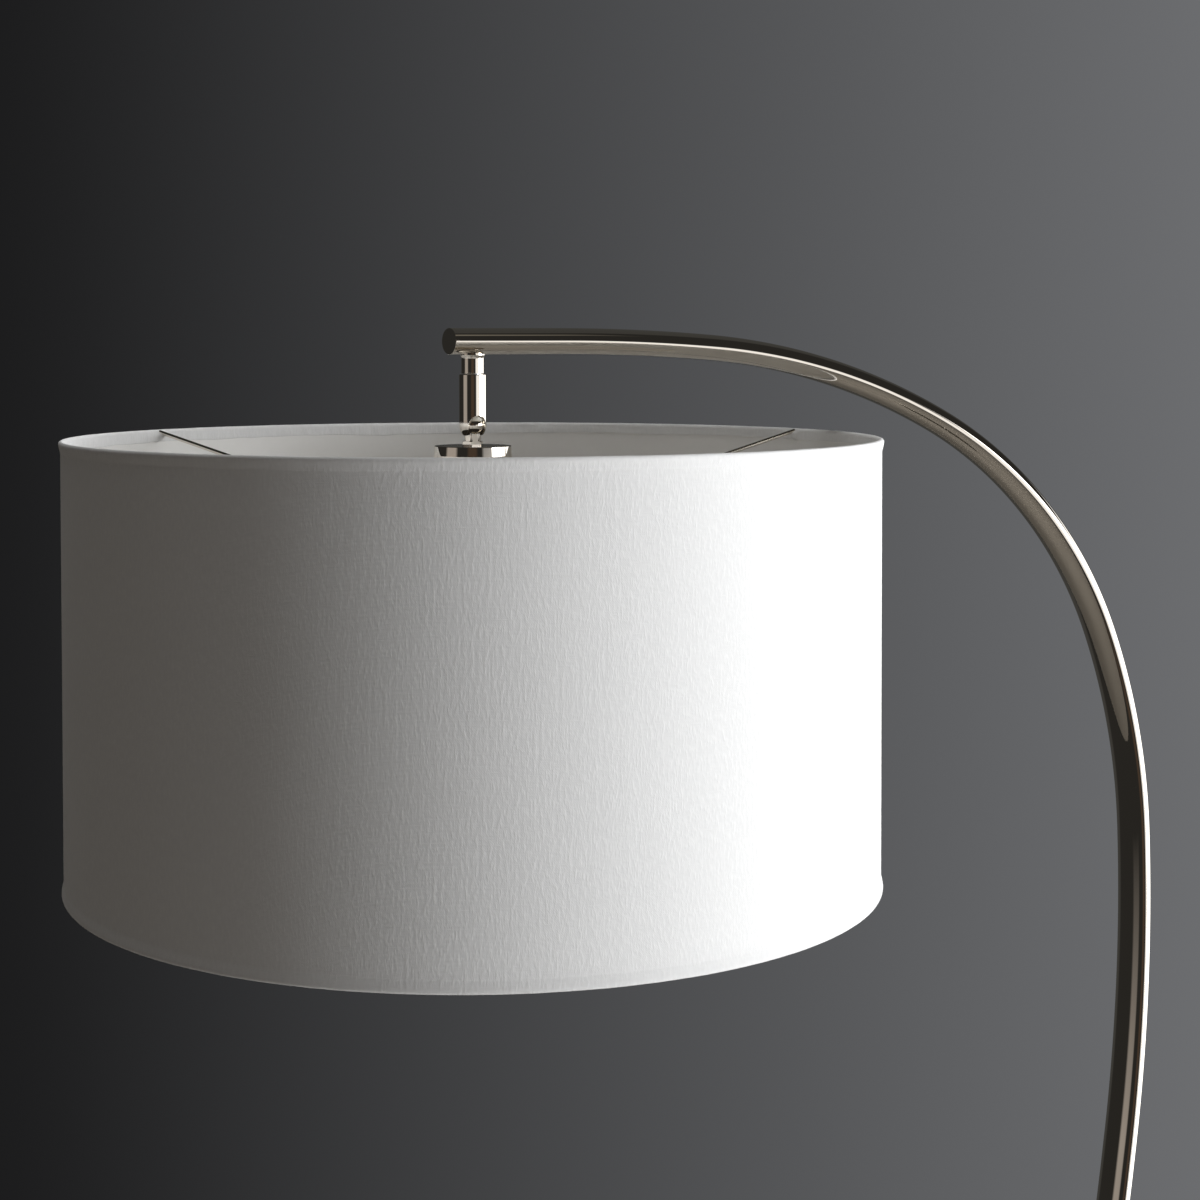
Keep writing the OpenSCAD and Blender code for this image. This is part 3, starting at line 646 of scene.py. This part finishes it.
def make_end_cap():
    """The tip's cap: an oval disc with an eased edge and a plug behind it."""
    edge, plug, flat = 0.2 * MM, 5.5 * MM, 1.0 * MM
    steps = 192
    fit = TUBE_WALL + 0.05 * MM
    rounded = [(TIP_X + edge + x, edge - y) for x, y in arc((0, 0), edge, 180, 90, 5)]
    sections = held([(TIP_X, edge + flat), *rounded, (TIP_X + CAP_FACE, 0.0), (TIP_X + CAP_FACE, fit),
                     (TIP_X + plug, fit)], closed=False)
    points = []
    for x, inset in sections:
        for i in range(steps):
            a = 2 * math.pi * i / steps
            across, up = TUBE_W / 2 - inset, TUBE_H / 2 - inset
            points.append((x, across * math.cos(a), ARM_Z + up * math.sin(a)))
    faces = quads(len(sections), steps, closed=False)
    faces.append(tuple(range(steps)))
    faces.append(tuple(range((len(sections) - 1) * steps, len(sections) * steps)))
    mesh = from_lists("arm_end_cap_bright", points, faces)
    close_up(mesh)
    smooth(mesh, 30)
    place("arm_end_cap_bright", mesh, "stand", "polished_nickel", ["arm_end_cap"])


# ---------------------------------------------------------------- swivel

def make_sleeve():
    """The turning sleeve: a tube with a round lower end, a mouth, and a slot up its side."""
    radius = radius_of("swivel_sleeve")
    top, bottom = high("swivel_sleeve").z, low("swivel_sleeve").z
    slot_half = math.sqrt(radius ** 2 - (BALL_Z - bottom) ** 2)
    around, up, down = 360, 80, 60
    edge = 0.35 * MM
    mouth = math.asin((BALL_Z - bottom) / radius)
    turns = [math.radians(a) for a in (0, 22, 45, 67, 90)]
    profile = [(radius - edge + edge * math.sin(a), top - edge + edge * math.cos(a)) for a in turns]
    profile += [(radius, top - edge + (BALL_Z - top + edge) * i / up) for i in range(1, up + 1)]
    profile += [(radius * math.cos(mouth * i / down), BALL_Z - radius * math.sin(mouth * i / down))
                for i in range(1, down + 1)]
    cell = radius * 2 * math.pi / around

    def outside_slot(y, z):
        """Distance outside the slot's outline, seen along the slot's direction."""
        if z >= BALL_Z:
            return math.hypot(y, z - BALL_Z) - slot_half
        return abs(y) - slot_half

    points = []
    for i in range(around):
        a = 2 * math.pi * i / around
        for r, z in profile:
            x, y = r * math.cos(a), r * math.sin(a)
            gap = outside_slot(y, z)
            if x > 0 and abs(gap) < 0.6 * cell and abs(y) > 1e-6:
                y -= math.copysign(gap, y) * (1 if z < BALL_Z else abs(y) / slot_half)
                z -= 0 if z < BALL_Z else gap * (z - BALL_Z) / slot_half
                x = math.sqrt(max(r * r - y * y, 0))
            points.append((x, y, z))
    count = len(profile)
    faces = []
    for i in range(around):
        j = (i + 1) % around
        for k in range(count - 1):
            corners = (i * count + k, i * count + k + 1, j * count + k + 1, j * count + k)
            cx, cy, cz = np.mean([points[c] for c in corners], axis=0)
            if not (cx > 0 and outside_slot(cy, cz) < 0):
                faces.append(corners)
    turn = Matrix.Rotation(SLOT_ANGLE, 4, "Z")
    placed = [turn @ Vector(p) + Vector((SHADE_X, 0, 0)) for p in points]
    mesh = from_lists("swivel_sleeve_bright", placed, faces)
    with editing(mesh) as work:
        bmesh.ops.delete(work, geom=[v for v in work.verts if not v.link_faces], context="VERTS")
        bmesh.ops.recalc_face_normals(work, faces=work.faces)
        first = next(f for f in work.faces if f.calc_center_median().z > BALL_Z + 0.01)
        out = first.calc_center_median() - Vector((SHADE_X, 0, 0))
        if first.normal.x * out.x + first.normal.y * out.y < 0:
            bmesh.ops.reverse_faces(work, faces=work.faces)
    smooth(mesh, 40)
    piece = place("swivel_sleeve_bright", mesh, "swivel", "polished_nickel", ["swivel_sleeve"])
    wall = piece.modifiers.new("wall", "SOLIDIFY")
    wall.thickness = 1.2 * MM
    wall.offset = -1
    wall.use_even_offset = False


def make_collar():
    """The fixed collar: a small flare under the arm, then a plain sleeve down to the seam."""
    r, hole, edge = 6.5 * MM, 5.05 * MM, 0.3 * MM
    flare, flare_start, flare_run = 0.6 * MM, 2.4 * MM, 2 * MM
    under = low("arm_end_cap").z
    top = high("swivel_collar").z - 0.3 * MM
    widening = [(r + flare * (1 - math.cos(math.radians(a))), under - flare_start + a / 90 * flare_run)
                for a in range(0, 91, 9)]
    outline = [(hole, SEAM_Z), *arc((r - edge, SEAM_Z + edge), edge, -90, 0, 5), *widening,
               (r + flare, under + 0.4 * MM), (r, under + 0.6 * MM), (r, top), (hole, top)]
    mesh = lathe("swivel_collar_bright", outline, around=128)
    place("swivel_collar_bright", mesh, "stand", "polished_nickel", ["swivel_collar"])


def hexagon(name, width, bottom, top, hole, edge):
    """A six-sided piece with eased corners and a bore, from its width across the corners."""
    points = []
    around = 96
    levels = [(bottom, edge), (bottom + edge, 0), (top - edge, 0), (top, edge)]

    def flat_radius(a):
        within = (a + math.radians(30)) % math.radians(60) - math.radians(30)
        across = width / 2 * math.cos(math.radians(30))
        turned = abs(within) - math.radians(30)
        return min(across / math.cos(turned), width / 2 * 0.985)

    for z, inset in levels:
        for i in range(around):
            a = 2 * math.pi * i / around
            r = flat_radius(a)
            r = min(r, width / 2 - inset * 1.6) if inset else r
            points.append((SHADE_X + r * math.cos(a), r * math.sin(a), z))
    for z in (top, bottom):
        for i in range(around):
            a = 2 * math.pi * i / around
            points.append((SHADE_X + hole * math.cos(a), hole * math.sin(a), z))
    mesh = from_lists(name, points, quads(len(levels) + 2, around, closed=True))
    close_up(mesh)
    smooth(mesh, 18)
    return mesh


def make_ball():
    """The ball with its six-sided neck and its threaded stud, and the thin nut under it."""
    radius, stud, bore = 6.45 * MM, 3.95 * MM, 2.75 * MM
    neck_width, nut_width = 9.9 * MM, 12.4 * MM
    pitch, thread_depth = 1.0 * MM, 0.35 * MM
    neck_end = high("ball_lock_nut").z
    thread_end = low("swivel_ball").z
    ball = lathe("swivel_ball_bright", [
        *arc((0, BALL_Z), radius, -50, 64, 40), (bore, BALL_Z + radius - 0.9 * MM), (bore, BALL_Z - 2 * MM)],
        around=128)
    neck = hexagon("neck", neck_width, neck_end, BALL_Z - 3 * MM, bore, 0.2 * MM)
    root = stud - thread_depth
    turns = []
    for i in range(int((neck_end - thread_end) / pitch)):
        z = thread_end + i * pitch
        turns += [(root, z), (stud, z + pitch / 2)]
    stud_mesh = lathe("stud", [(bore, thread_end), *turns, (root, neck_end), (bore, neck_end)], around=64)
    with editing(ball) as work:
        work.from_mesh(neck)
        work.from_mesh(stud_mesh)
    smooth(ball, 30)
    place("swivel_ball_bright", ball, "head", "polished_nickel", ["swivel_ball"])
    nut = hexagon("ball_lock_nut_bright", nut_width, low("ball_lock_nut").z, neck_end, stud, 0.25 * MM)
    place("ball_lock_nut_bright", nut, "head", "polished_nickel", ["ball_lock_nut"])


def make_cup():
    """The socket's cup: a flat top, a slightly tapered shoulder and a plain side, open below."""
    r = radius_of("socket_cup")
    top, bottom = high("socket_cup").z, low("socket_cup").z
    wall, hole, edge = 1.2 * MM, 4.0 * MM, 0.4 * MM
    taper, shoulder = 0.45 * MM, 5.5 * MM
    hole_edge, lip, corner = 0.1 * MM, 0.3 * MM, 0.6 * MM
    outline = [(hole, top - wall), (hole, top - hole_edge), (hole + hole_edge, top),
               *arc((r - taper - edge, top - edge), edge, 90, 5, 8), (r, top - shoulder),
               (r, bottom + lip), (r - lip, bottom), (r - wall, bottom),
               (r - wall, top - wall - corner), (r - wall - corner, top - wall)]
    mesh = lathe("socket_cup_bright", outline, around=256)
    place("socket_cup_bright", mesh, "head", "polished_nickel", ["socket_cup"])


# ---------------------------------------------------------------- lamp holder and switch

def make_lamp_holder():
    """The screw shell with its rolled thread, and eased copies of the mouldings round it."""
    r_out = radius_of("screw_shell")
    top, bottom = high("screw_shell").z, low("screw_shell").z
    thread_r, crest, pitch = 13.2 * MM, 0.7 * MM, 3.63 * MM
    hole, inner_top = 7 * MM, top - 1.2 * MM
    around, up = 96, 84
    points = []
    for k in range(up + 1):
        z = bottom + (inner_top - bottom) * k / up
        for i in range(around):
            a = 2 * math.pi * i / around
            r = thread_r - crest * (0.5 - 0.5 * math.cos(2 * math.pi * (z - bottom) / pitch - a))
            points.append((SHADE_X + r * math.cos(a), r * math.sin(a), z))
    for r, z in ((hole, inner_top), (hole, top), (r_out, top), (r_out, bottom)):
        for i in range(around):
            a = 2 * math.pi * i / around
            points.append((SHADE_X + r * math.cos(a), r * math.sin(a), z))
    shell = from_lists("screw_shell_threaded", points, quads(up + 5, around, closed=True))
    close_up(shell)
    smooth(shell, 40)
    place("screw_shell_threaded", shell, "head", "brass", ["screw_shell"])
    for node, slot in (("socket_body", "black_phenolic"), ("switch_body", "black_phenolic"),
                       ("centre_contact", "brass"), ("socket_screws", "brass")):
        cad_copy(node + "_eased", node, "head", slot)


def ribbed(name, body, count, rim, rib, length):
    """The body, with round ribs standing on a circle of its rim."""
    return run_tree(RIBS, add_object("seed", body), name, {
        "Count": count, "Rim": rim, "Rib": rib, "Length": length, "Finish": MATERIALS["black_phenolic"]})


def make_ring_nut():
    """The clamp ring under the spider, ribbed round its rim for the fingers."""
    bottom, top = low("shade_ring_nut").z, high("shade_ring_nut").z
    bore, rim, edge, plain = 19.55 * MM, 21.8 * MM, 0.8 * MM, 2 * MM
    body = lathe("ring_nut_body", ring_outline(bore, rim, bottom, top, edge), around=128)
    body.transform(Matrix.Translation((-SHADE_X, 0, -(bottom + top) / 2)))
    mesh = ribbed("shade_ring_nut_ribbed", body, 48, rim, 0.6 * MM, top - bottom - plain)
    mesh.transform(Matrix.Translation((SHADE_X, 0, (bottom + top) / 2)))
    smooth(mesh, 35)
    place("shade_ring_nut_ribbed", mesh, "head", "black_phenolic", ["shade_ring_nut"])


def make_switch():
    """The switch's knob, ribbed like the clamp ring, on its shaft, and the bush that it comes out of."""
    near, far = high("switch_knob").y, low("switch_knob").y
    length = near - far
    r, bore, bore_depth = 5.0 * MM, 2.0 * MM, 9 * MM
    bevel, nose, plain = 0.5 * MM, 1.2 * MM, 4 * MM
    outline = [(bore, length / 2 - bore_depth), (bore, length / 2), (r - bevel, length / 2),
               (r, length / 2 - bevel), *arc((r - nose, -length / 2 + nose), nose, 0, -90, 8),
               (0.0, -length / 2), (0.0, length / 2 - bore_depth)]
    body = lathe("knob_body", outline, around=96, x=0.0)
    mesh = ribbed("switch_knob_ribbed", body, 20, r, 0.55 * MM, length - plain)
    centre = Matrix.Translation((SHADE_X, (near + far) / 2, KNOB_Z))
    mesh.transform(centre @ Matrix.Rotation(math.radians(-90), 4, "X"))
    smooth(mesh, 35)
    place("switch_knob_ribbed", mesh, "knob", "black_phenolic", ["switch_knob"])
    cup_r = radius_of("socket_cup")
    bush_bore, bush_r, bush_edge = 2.1 * MM, 4.2 * MM, 0.3 * MM
    section = ring_outline(bush_bore, bush_r, cup_r - 1.5 * MM, cup_r + 1.2 * MM, bush_edge)
    bush = lathe("switch_bush", section, around=64, x=0.0)
    bush.transform(Matrix.Translation((SHADE_X, 0, KNOB_Z)) @ Matrix.Rotation(math.radians(90), 4, "X"))
    place("switch_bush", bush, "head", "zinc_steel")


# ---------------------------------------------------------------- shade

def wobble(angle, seed, waves):
    """A smooth, repeatable ripple round the shade, between -1 and 1."""
    pick = np.random.default_rng(seed)
    lively = 1.6
    total, weight = np.zeros_like(angle), 0.0
    for n in waves:
        phase, size = pick.uniform(0, 2 * math.pi), 1 / math.sqrt(n)
        total += size * np.sin(n * angle + phase)
        weight += size
    return total / weight * lively


def turned_sheet(name, rings, around):
    """A closed section turned round the shade: rings of radius and height by angle, and a map in metres."""
    angles = np.linspace(0, 2 * math.pi, around, endpoint=False)
    points = []
    for radius, height in rings:
        for a, r, z in zip(angles, radius, height):
            points.append((SHADE_X + r * math.cos(a), r * math.sin(a), z))
    mesh = from_lists(name, points, quads(len(rings), around, closed=True))
    v = [0.0]
    for (r0, z0), (r1, z1) in zip(rings, rings[1:] + rings[:1]):
        v.append(v[-1] + float(np.mean(np.hypot(r1 - r0, z1 - z0))))
    u = [i / around * 2 * math.pi * WALL_R for i in range(around + 1)]
    corners = [((u[i], v[s]), (u[i + 1], v[s]), (u[i + 1], v[s + 1]), (u[i], v[s + 1]))
               for s in range(len(rings)) for i in range(around)]
    mesh.uv_layers.new(name="cloth").data.foreach_set("uv", np.array(corners).ravel())
    face_outwards(mesh)
    return mesh


def thicken(path, thickness):
    """A closed section from a midline of radius and height arrays: out on one side and back on the other."""
    mids = [np.array(p, float) for p in path]
    sides = []
    for k in range(len(mids)):
        ahead = mids[min(k + 1, len(mids) - 1)].mean(axis=1)
        behind = mids[max(k - 1, 0)].mean(axis=1)
        along = ahead - behind
        along = along / np.linalg.norm(along)
        sides.append(np.array([along[1], -along[0]]) * thickness / 2)
    left = [(m[0] + s[0], m[1] + s[1]) for m, s in zip(mids, sides)]
    right = [(m[0] - s[0], m[1] - s[1]) for m, s in zip(mids, sides)]
    return left + right[::-1]


def make_cover():
    """The shade's cloth: one sheet, round both ring wires, with its edges turned up inside."""
    around = 900
    angles = np.linspace(0, 2 * math.pi, around, endpoint=False)
    cloth, slip, flare = 0.36 * MM, 0.02 * MM, 6.0 * MM
    wrap = RING_WIRE + cloth / 2 + slip
    top_z = RIM_Z - RING_WIRE - cloth - slip
    foot_z = SHADE_FOOT_Z + RING_WIRE + cloth + slip
    wall = WALL_R - 0.3 * MM
    inside = LINING_R - LINING - cloth / 2 - 0.06 * MM
    edge_line = wobble(angles, 3, (5, 9, 14, 23, 37, 61, 90))
    pucker = wobble(angles, 8, (24, 31, 47, 66, 95, 130, 170))
    creases = wobble(angles, 12, (110, 140, 175, 210))
    slack = wobble(angles, 5, (3, 4, 7, 11))
    flat = np.ones(around)
    gathered = np.zeros(around)
    tented = np.zeros(around)
    for i in range(3):
        off = np.angle(np.exp(1j * (angles - SPIDER_ANGLE - i * 2 * math.pi / 3))) * RING_R
        gathered += np.exp(-(off / (9 * MM)) ** 2)
        tented += np.exp(-(off / (2.2 * MM)) ** 2)
    hem_steps, wrap_steps, flare_steps, wall_steps = 14, 16, 10, 40

    def side(centre_z, sign, hem, pulled):
        """From the hem's raw edge inside, round the wire, to the wall outside; sign is +1 at the top."""
        rings = []
        for i in range(hem_steps + 1):
            share = i / hem_steps
            z = centre_z - sign * (hem + 0.7 * MM * edge_line + 0.5 * MM * creases * pulled) * (1 - share)
            ripple = (0.16 + 0.4 * pulled) * MM * (0.7 + 0.8 * pucker + 0.5 * creases)
            lift = ripple * math.sin(math.pi * (0.15 + 0.75 * (1 - share)))
            tent = 3.4 * MM * tented * (sign > 0) * math.sin(math.pi * share) ** 0.8
            r = inside * (1 - share ** 3) + (RING_R - wrap) * share ** 3
            rings.append((r * flat - np.maximum(lift, 0) - tent, z * flat))
        for i in range(1, wrap_steps):
            a = math.radians(180 - 180 * i / wrap_steps)
            bulge = wrap + 0.05 * MM * pucker * math.sin(a)
            rings.append((RING_R + bulge * math.cos(a) * flat, centre_z + sign * bulge * math.sin(a)))
        for i in range(flare_steps + 1):
            share = i / flare_steps
            drawn_in = share * share * (3 - 2 * share)
            r = (RING_R + wrap) * (1 - drawn_in) + wall * drawn_in
            rings.append((r * flat, (centre_z - sign * share * flare) * flat))
        return rings

    deeper = 4.6 * MM + 1.7 * MM * (0.5 + 0.5 * np.cos(angles - math.radians(150)))
    top = side(top_z, 1, deeper, gathered)
    foot = side(foot_z, -1, 5.0 * MM * flat, 0 * flat)
    z_from, z_to = top_z - flare, foot_z + flare
    middle = []
    for i in range(1, wall_steps):
        share = i / wall_steps
        belly = math.sin(math.pi * share)
        r = wall + 0.10 * MM * slack * belly
        middle.append((r, (z_from + (z_to - z_from) * share) * flat))
    path = top + middle + foot[::-1]
    mesh = turned_sheet("shade_cover", thicken(path, cloth), around)
    mesh.shade_smooth()
    return place("shade_cover", mesh, "head", "white_linen", ["shade_fabric", "top_hem", "bottom_hem"])


def make_seam():
    """The cover's side seam, a folded strip of the same cloth up the back of the shade."""
    half_width, thickness, sunk, ends = 5.0 * MM, 0.35 * MM, 0.15 * MM, 5.5 * MM
    back = math.radians(100)
    steps, up = 14, 60
    bottom, top = SHADE_FOOT_Z + ends, RIM_Z - ends
    shares = [i / steps * 2 - 1 for i in range(steps + 1)]
    points = []
    for k in range(up + 1):
        z = bottom + (top - bottom) * k / up
        wander = 0.25 * MM * math.sin(k * 0.31) + 0.15 * MM * math.sin(k * 0.83 + 1)
        section = [(share, WALL_R + thickness * (1 - abs(share) ** 6)) for share in shares]
        section += [(share, WALL_R - sunk) for share in reversed(shares)]
        for share, r in section:
            a = back + (half_width * share + wander) / WALL_R
            points.append((SHADE_X + r * math.cos(a), r * math.sin(a), z))
    row = 2 * (steps + 1)
    faces = quads(up + 1, row, closed=False)
    faces.append(tuple(range(row)))
    faces.append(tuple(range(up * row, (up + 1) * row)))
    mesh = from_lists("shade_side_seam", points, faces)
    layer = mesh.uv_layers.new(name="cloth")
    cut_from = 0.37  # metres along the roll, so that its weave isn't the cover's
    for corner in mesh.loops:
        spot = mesh.vertices[corner.vertex_index].co
        a = math.atan2(spot.y, spot.x - SHADE_X)
        layer.data[corner.index].uv = (a * WALL_R + cut_from, spot.z)
    face_outwards(mesh)
    smooth(mesh, 40)
    return place("shade_side_seam", mesh, "head", "white_linen")


def make_lining():
    """The stiff white backing inside the cloth."""
    outer, inner = LINING_R - 0.02 * MM, LINING_R - LINING
    top, bottom = high("shade_lining").z, low("shade_lining").z
    outline = [(outer, bottom), (outer, top), (inner, top), (inner, bottom)]
    mesh = lathe("shade_backing", outline, around=720)
    place("shade_backing", mesh, "head", "white_styrene", ["shade_lining"])


def rod(start, end, radius, around, steps):
    """A round rod between two points, as points and faces."""
    along = (end - start).normalized()
    side = along.orthogonal().normalized()
    other = along.cross(side)
    points = []
    for s in range(steps + 1):
        centre = start.lerp(end, s / steps)
        for i in range(around):
            a = 2 * math.pi * i / around
            points.append(centre + side * radius * math.cos(a) + other * radius * math.sin(a))
    faces = quads(steps + 1, around, closed=False)
    faces.append(tuple(reversed(range(around))))
    faces.append(tuple(range(steps * around, (steps + 1) * around)))
    return points, faces


def make_spider():
    """The spider: a flat hub ring, and three wires welded from its rim to the top ring wire."""
    hub_low, hub_top = low("spider").z, low("spider").z + 2 * MM
    hub_in, hub_out, edge = 20 * MM, 24 * MM, 0.4 * MM
    wire, sunk, lift = 1.25 * MM, 0.2 * MM, 0.15 * MM
    ring_z = high("top_ring").z - RING_WIRE
    hub = lathe("spider_bright", [
        (hub_in, hub_low), *arc((hub_out - edge, hub_low + edge), edge, -90, 0, 4),
        *arc((hub_out - edge, hub_top - edge), edge, 0, 90, 4), (hub_in, hub_top)], around=128)
    with editing(hub) as work:
        for i in range(3):
            a = SPIDER_ANGLE + math.radians(120) * i
            out = Vector((math.cos(a), math.sin(a), 0))
            centre = Vector((SHADE_X, 0, 0))
            start = centre + out * (hub_out - sunk) + Vector((0, 0, (hub_low + hub_top) / 2 + lift))
            end = centre + out * (RING_R - RING_WIRE) + Vector((0, 0, ring_z))
            points, faces = rod(start, end, wire, around=24, steps=12)
            made = [work.verts.new(p) for p in points]
            for face in faces:
                work.faces.new([made[k] for k in face])
        bmesh.ops.recalc_face_normals(work, faces=work.faces)
    smooth(hub, 40)
    place("spider_bright", hub, "head", "polished_nickel", ["spider"])


# ---------------------------------------------------------------- base

def make_base():
    """The spun cover of the base and the turned flange of the pole's foot."""
    r = high("base_cover").x
    top, bottom = high("base_cover").z, low("base_cover").z
    edge, sheet, hole, bevel = 4 * MM, 1.5 * MM, 25 * MM, 0.4 * MM
    outline = [(hole, top - sheet), (hole, top), *arc((r - edge, top - edge), edge, 90, 0, 16),
               (r, bottom + bevel), (r - bevel, bottom), (r - sheet, bottom),
               *arc((r - edge, top - edge), edge - sheet, 0, 90, 10)]
    cover = lathe("base_cover_bright", outline, around=360, x=0.0)
    place("base_cover_bright", cover, "stand", "polished_nickel", ["base_cover"])
    foot_r = high("pole_foot").x
    hub_r, step_r, step, above = 9 * MM, 24.4 * MM, 1.4 * MM, 0.05 * MM
    side, round_r, foot_edge = 2 * MM, 6 * MM, 0.3 * MM
    flange = lathe("pole_foot_bright", [
        (hub_r, top - step), (step_r, top - step), (step_r, top + above),
        (foot_r - foot_edge, top + above), (foot_r, top + bevel), (foot_r, top + side),
        *arc((foot_r - round_r, top + side), round_r, 0, 90, 16)[1:],
        (hub_r, FOOT_TOP)], around=256, x=0.0)
    place("pole_foot_bright", flange, "stand", "polished_nickel", ["pole_foot"])


# ---------------------------------------------------------------- the CAD nodes that stay

def finish_cad_nodes():
    """Gives every CAD node that still shows the finish of its own slot."""
    slots = {row["node"]: row["material_slot"] for row in frame["record"]["subparts"]}
    for name, node in frame["nodes"].items():
        node.data.materials.clear()
        node.data.materials.append(MATERIALS[slots[name]])


# ---------------------------------------------------------------- studio

def turned_from(tree, azimuth, at):
    """An azimuth as a turn, within half a turn each way, from a direction in degrees."""
    return maths(tree, "WRAP", maths(tree, "SUBTRACT", azimuth, math.radians(at)), math.pi, -math.pi)


def soft_window(tree, azimuth, elevation, at, width, tilt, height, soft=4):
    """A mask for a soft rectangle of the sky: its middle, its half sizes and its soft edge, in degrees."""
    turned = turned_from(tree, azimuth, at)
    masks = []
    for value, half in ((turned, width), (maths(tree, "SUBTRACT", elevation, math.radians(tilt)), height)):
        away = maths(tree, "ABSOLUTE", value)
        masks.append(spread(tree, away, math.radians(half - soft), math.radians(half + soft), 1.0, 0.0))
    return maths(tree, "MULTIPLY", *masks)


# What the metal reflects: middle and half width in azimuth, middle and half height in elevation (degrees),
# colour, strength
STUDIO = [
    ("window", -31, 16, -8, 20, (0.98, 0.99, 1.0), 13.0),
    ("far side of the window", 6, 23, -8, 20, (0.98, 0.99, 1.0), 2.6),
    ("near side of the window", -64, 14, -10, 15, (1.0, 0.99, 0.98), 1.25),
    ("side card", -174, 17, 1, 13, (0.85, 0.77, 0.70), 0.50),
    ("room", -109, 13, -2, 24, (0.60, 0.42, 0.30), 0.12),
    ("near ceiling", -71, 70, 76, 7, (1.0, 0.92, 0.76), 0.24),
    ("far ceiling", 100, 70, 84, 9, (0.90, 0.88, 0.80), 0.10),
]
SKY = (0.026, 0.025, 0.023, 1)  # between the windows
REAR = (0.055, 0.054, 0.050, 1)  # beyond the lamp, where the camera looks
AHEAD = 71  # the camera's azimuth

# Soft lamps for the cloth and the floor, which the metal doesn't reflect: place, size, power, spread
LAMPS = [
    ("overhead", (SHADE_X, 0, 3.0), 1.2, 7.5, 180),
    ("back fill", (0.9, 2.0, 2.1), 1.0, 11.0, 90),
]


def make_floor():
    """A pale round floor."""
    floor_r, depth = 2.6, 0.02
    outline = [(0.0, -depth), (floor_r, -depth), (floor_r, 0.0), (0.0, 0.0)]
    floor = lathe("floor", outline, around=128, x=0.0)
    made, tree, shader = surface("pale_floor", (0.74, 0.69, 0.62), Roughness=0.6)
    grain = use_group(tree, GRAIN, Size=60.0, Contrast=0.3)
    colour = blend_colour(tree, grain.outputs["Mask"], (0.72, 0.67, 0.60, 1), (0.77, 0.72, 0.65, 1))
    tree.links.new(colour, shader.inputs["Base Color"])
    floor.materials.append(made)
    piece = add_object("floor", floor)


def make_surround():
    """Soft windows that light the object and show in its metal, and a plain grey gradient behind it."""
    world = bpy.data.worlds.new("studio")
    world.use_nodes = True
    tree = world.node_tree
    split = add(tree, "ShaderNodeSeparateXYZ")
    tree.links.new(add(tree, "ShaderNodeTexCoord").outputs["Generated"], split.inputs[0])
    azimuth = maths(tree, "ARCTAN2", split.outputs[1], split.outputs[0])
    elevation = maths(tree, "ARCSINE", split.outputs[2])
    seen = SKY
    for _, at, width, tilt, height, colour, strength in STUDIO:
        mask = soft_window(tree, azimuth, elevation, at, width, tilt, height)
        lit = tuple(channel * strength for channel in colour) + (1,)
        seen = blend_colour(tree, mask, seen, lit)
    left, right = math.radians(14), math.radians(-18)
    back = spread(tree, turned_from(tree, azimuth, AHEAD), left, right, 0.0, 1.0)
    back = maths(tree, "POWER", back, 1.35)
    backdrop = blend_colour(tree, back, (0.012, 0.012, 0.0125, 1), (0.150, 0.153, 0.160, 1))
    rear = soft_window(tree, azimuth, elevation, AHEAD, 32, 0, 70)
    seen = blend_colour(tree, rear, seen, REAR)
    camera_ray = add(tree, "ShaderNodeLightPath").outputs["Is Camera Ray"]
    shown = blend_colour(tree, camera_ray, seen, backdrop)
    tree.links.new(shown, tree.nodes["Background"].inputs["Color"])
    bpy.context.scene.world = world


def make_lamps():
    """Disc lamps aimed at the upper part of the shade."""
    target = Vector((SHADE_X, 0, RIM_Z - 0.15))
    for name, place_at, size, energy, spread_angle in LAMPS:
        data = bpy.data.lights.new(name, "AREA")
        data.shape = "DISK"
        data.size = size
        data.energy = energy
        data.spread = math.radians(spread_angle)
        light = add_object(name, data)
        light.location = place_at
        light.rotation_euler = (target - Vector(place_at)).to_track_quat("-Z", "Y").to_euler()
        light.visible_glossy = False
        light.visible_camera = False


# ---------------------------------------------------------------- the object

make_camera()
make_arm()
make_end_cap()
make_collar()
make_sleeve()
make_ball()
make_cup()
make_lamp_holder()
make_ring_nut()
make_switch()
cover = make_cover()
seam = make_seam()
make_lining()
make_spider()
make_base()
finish_cad_nodes()
make_floor()
make_surround()
make_lamps()
bpy.context.scene.view_settings.view_transform = "Standard"
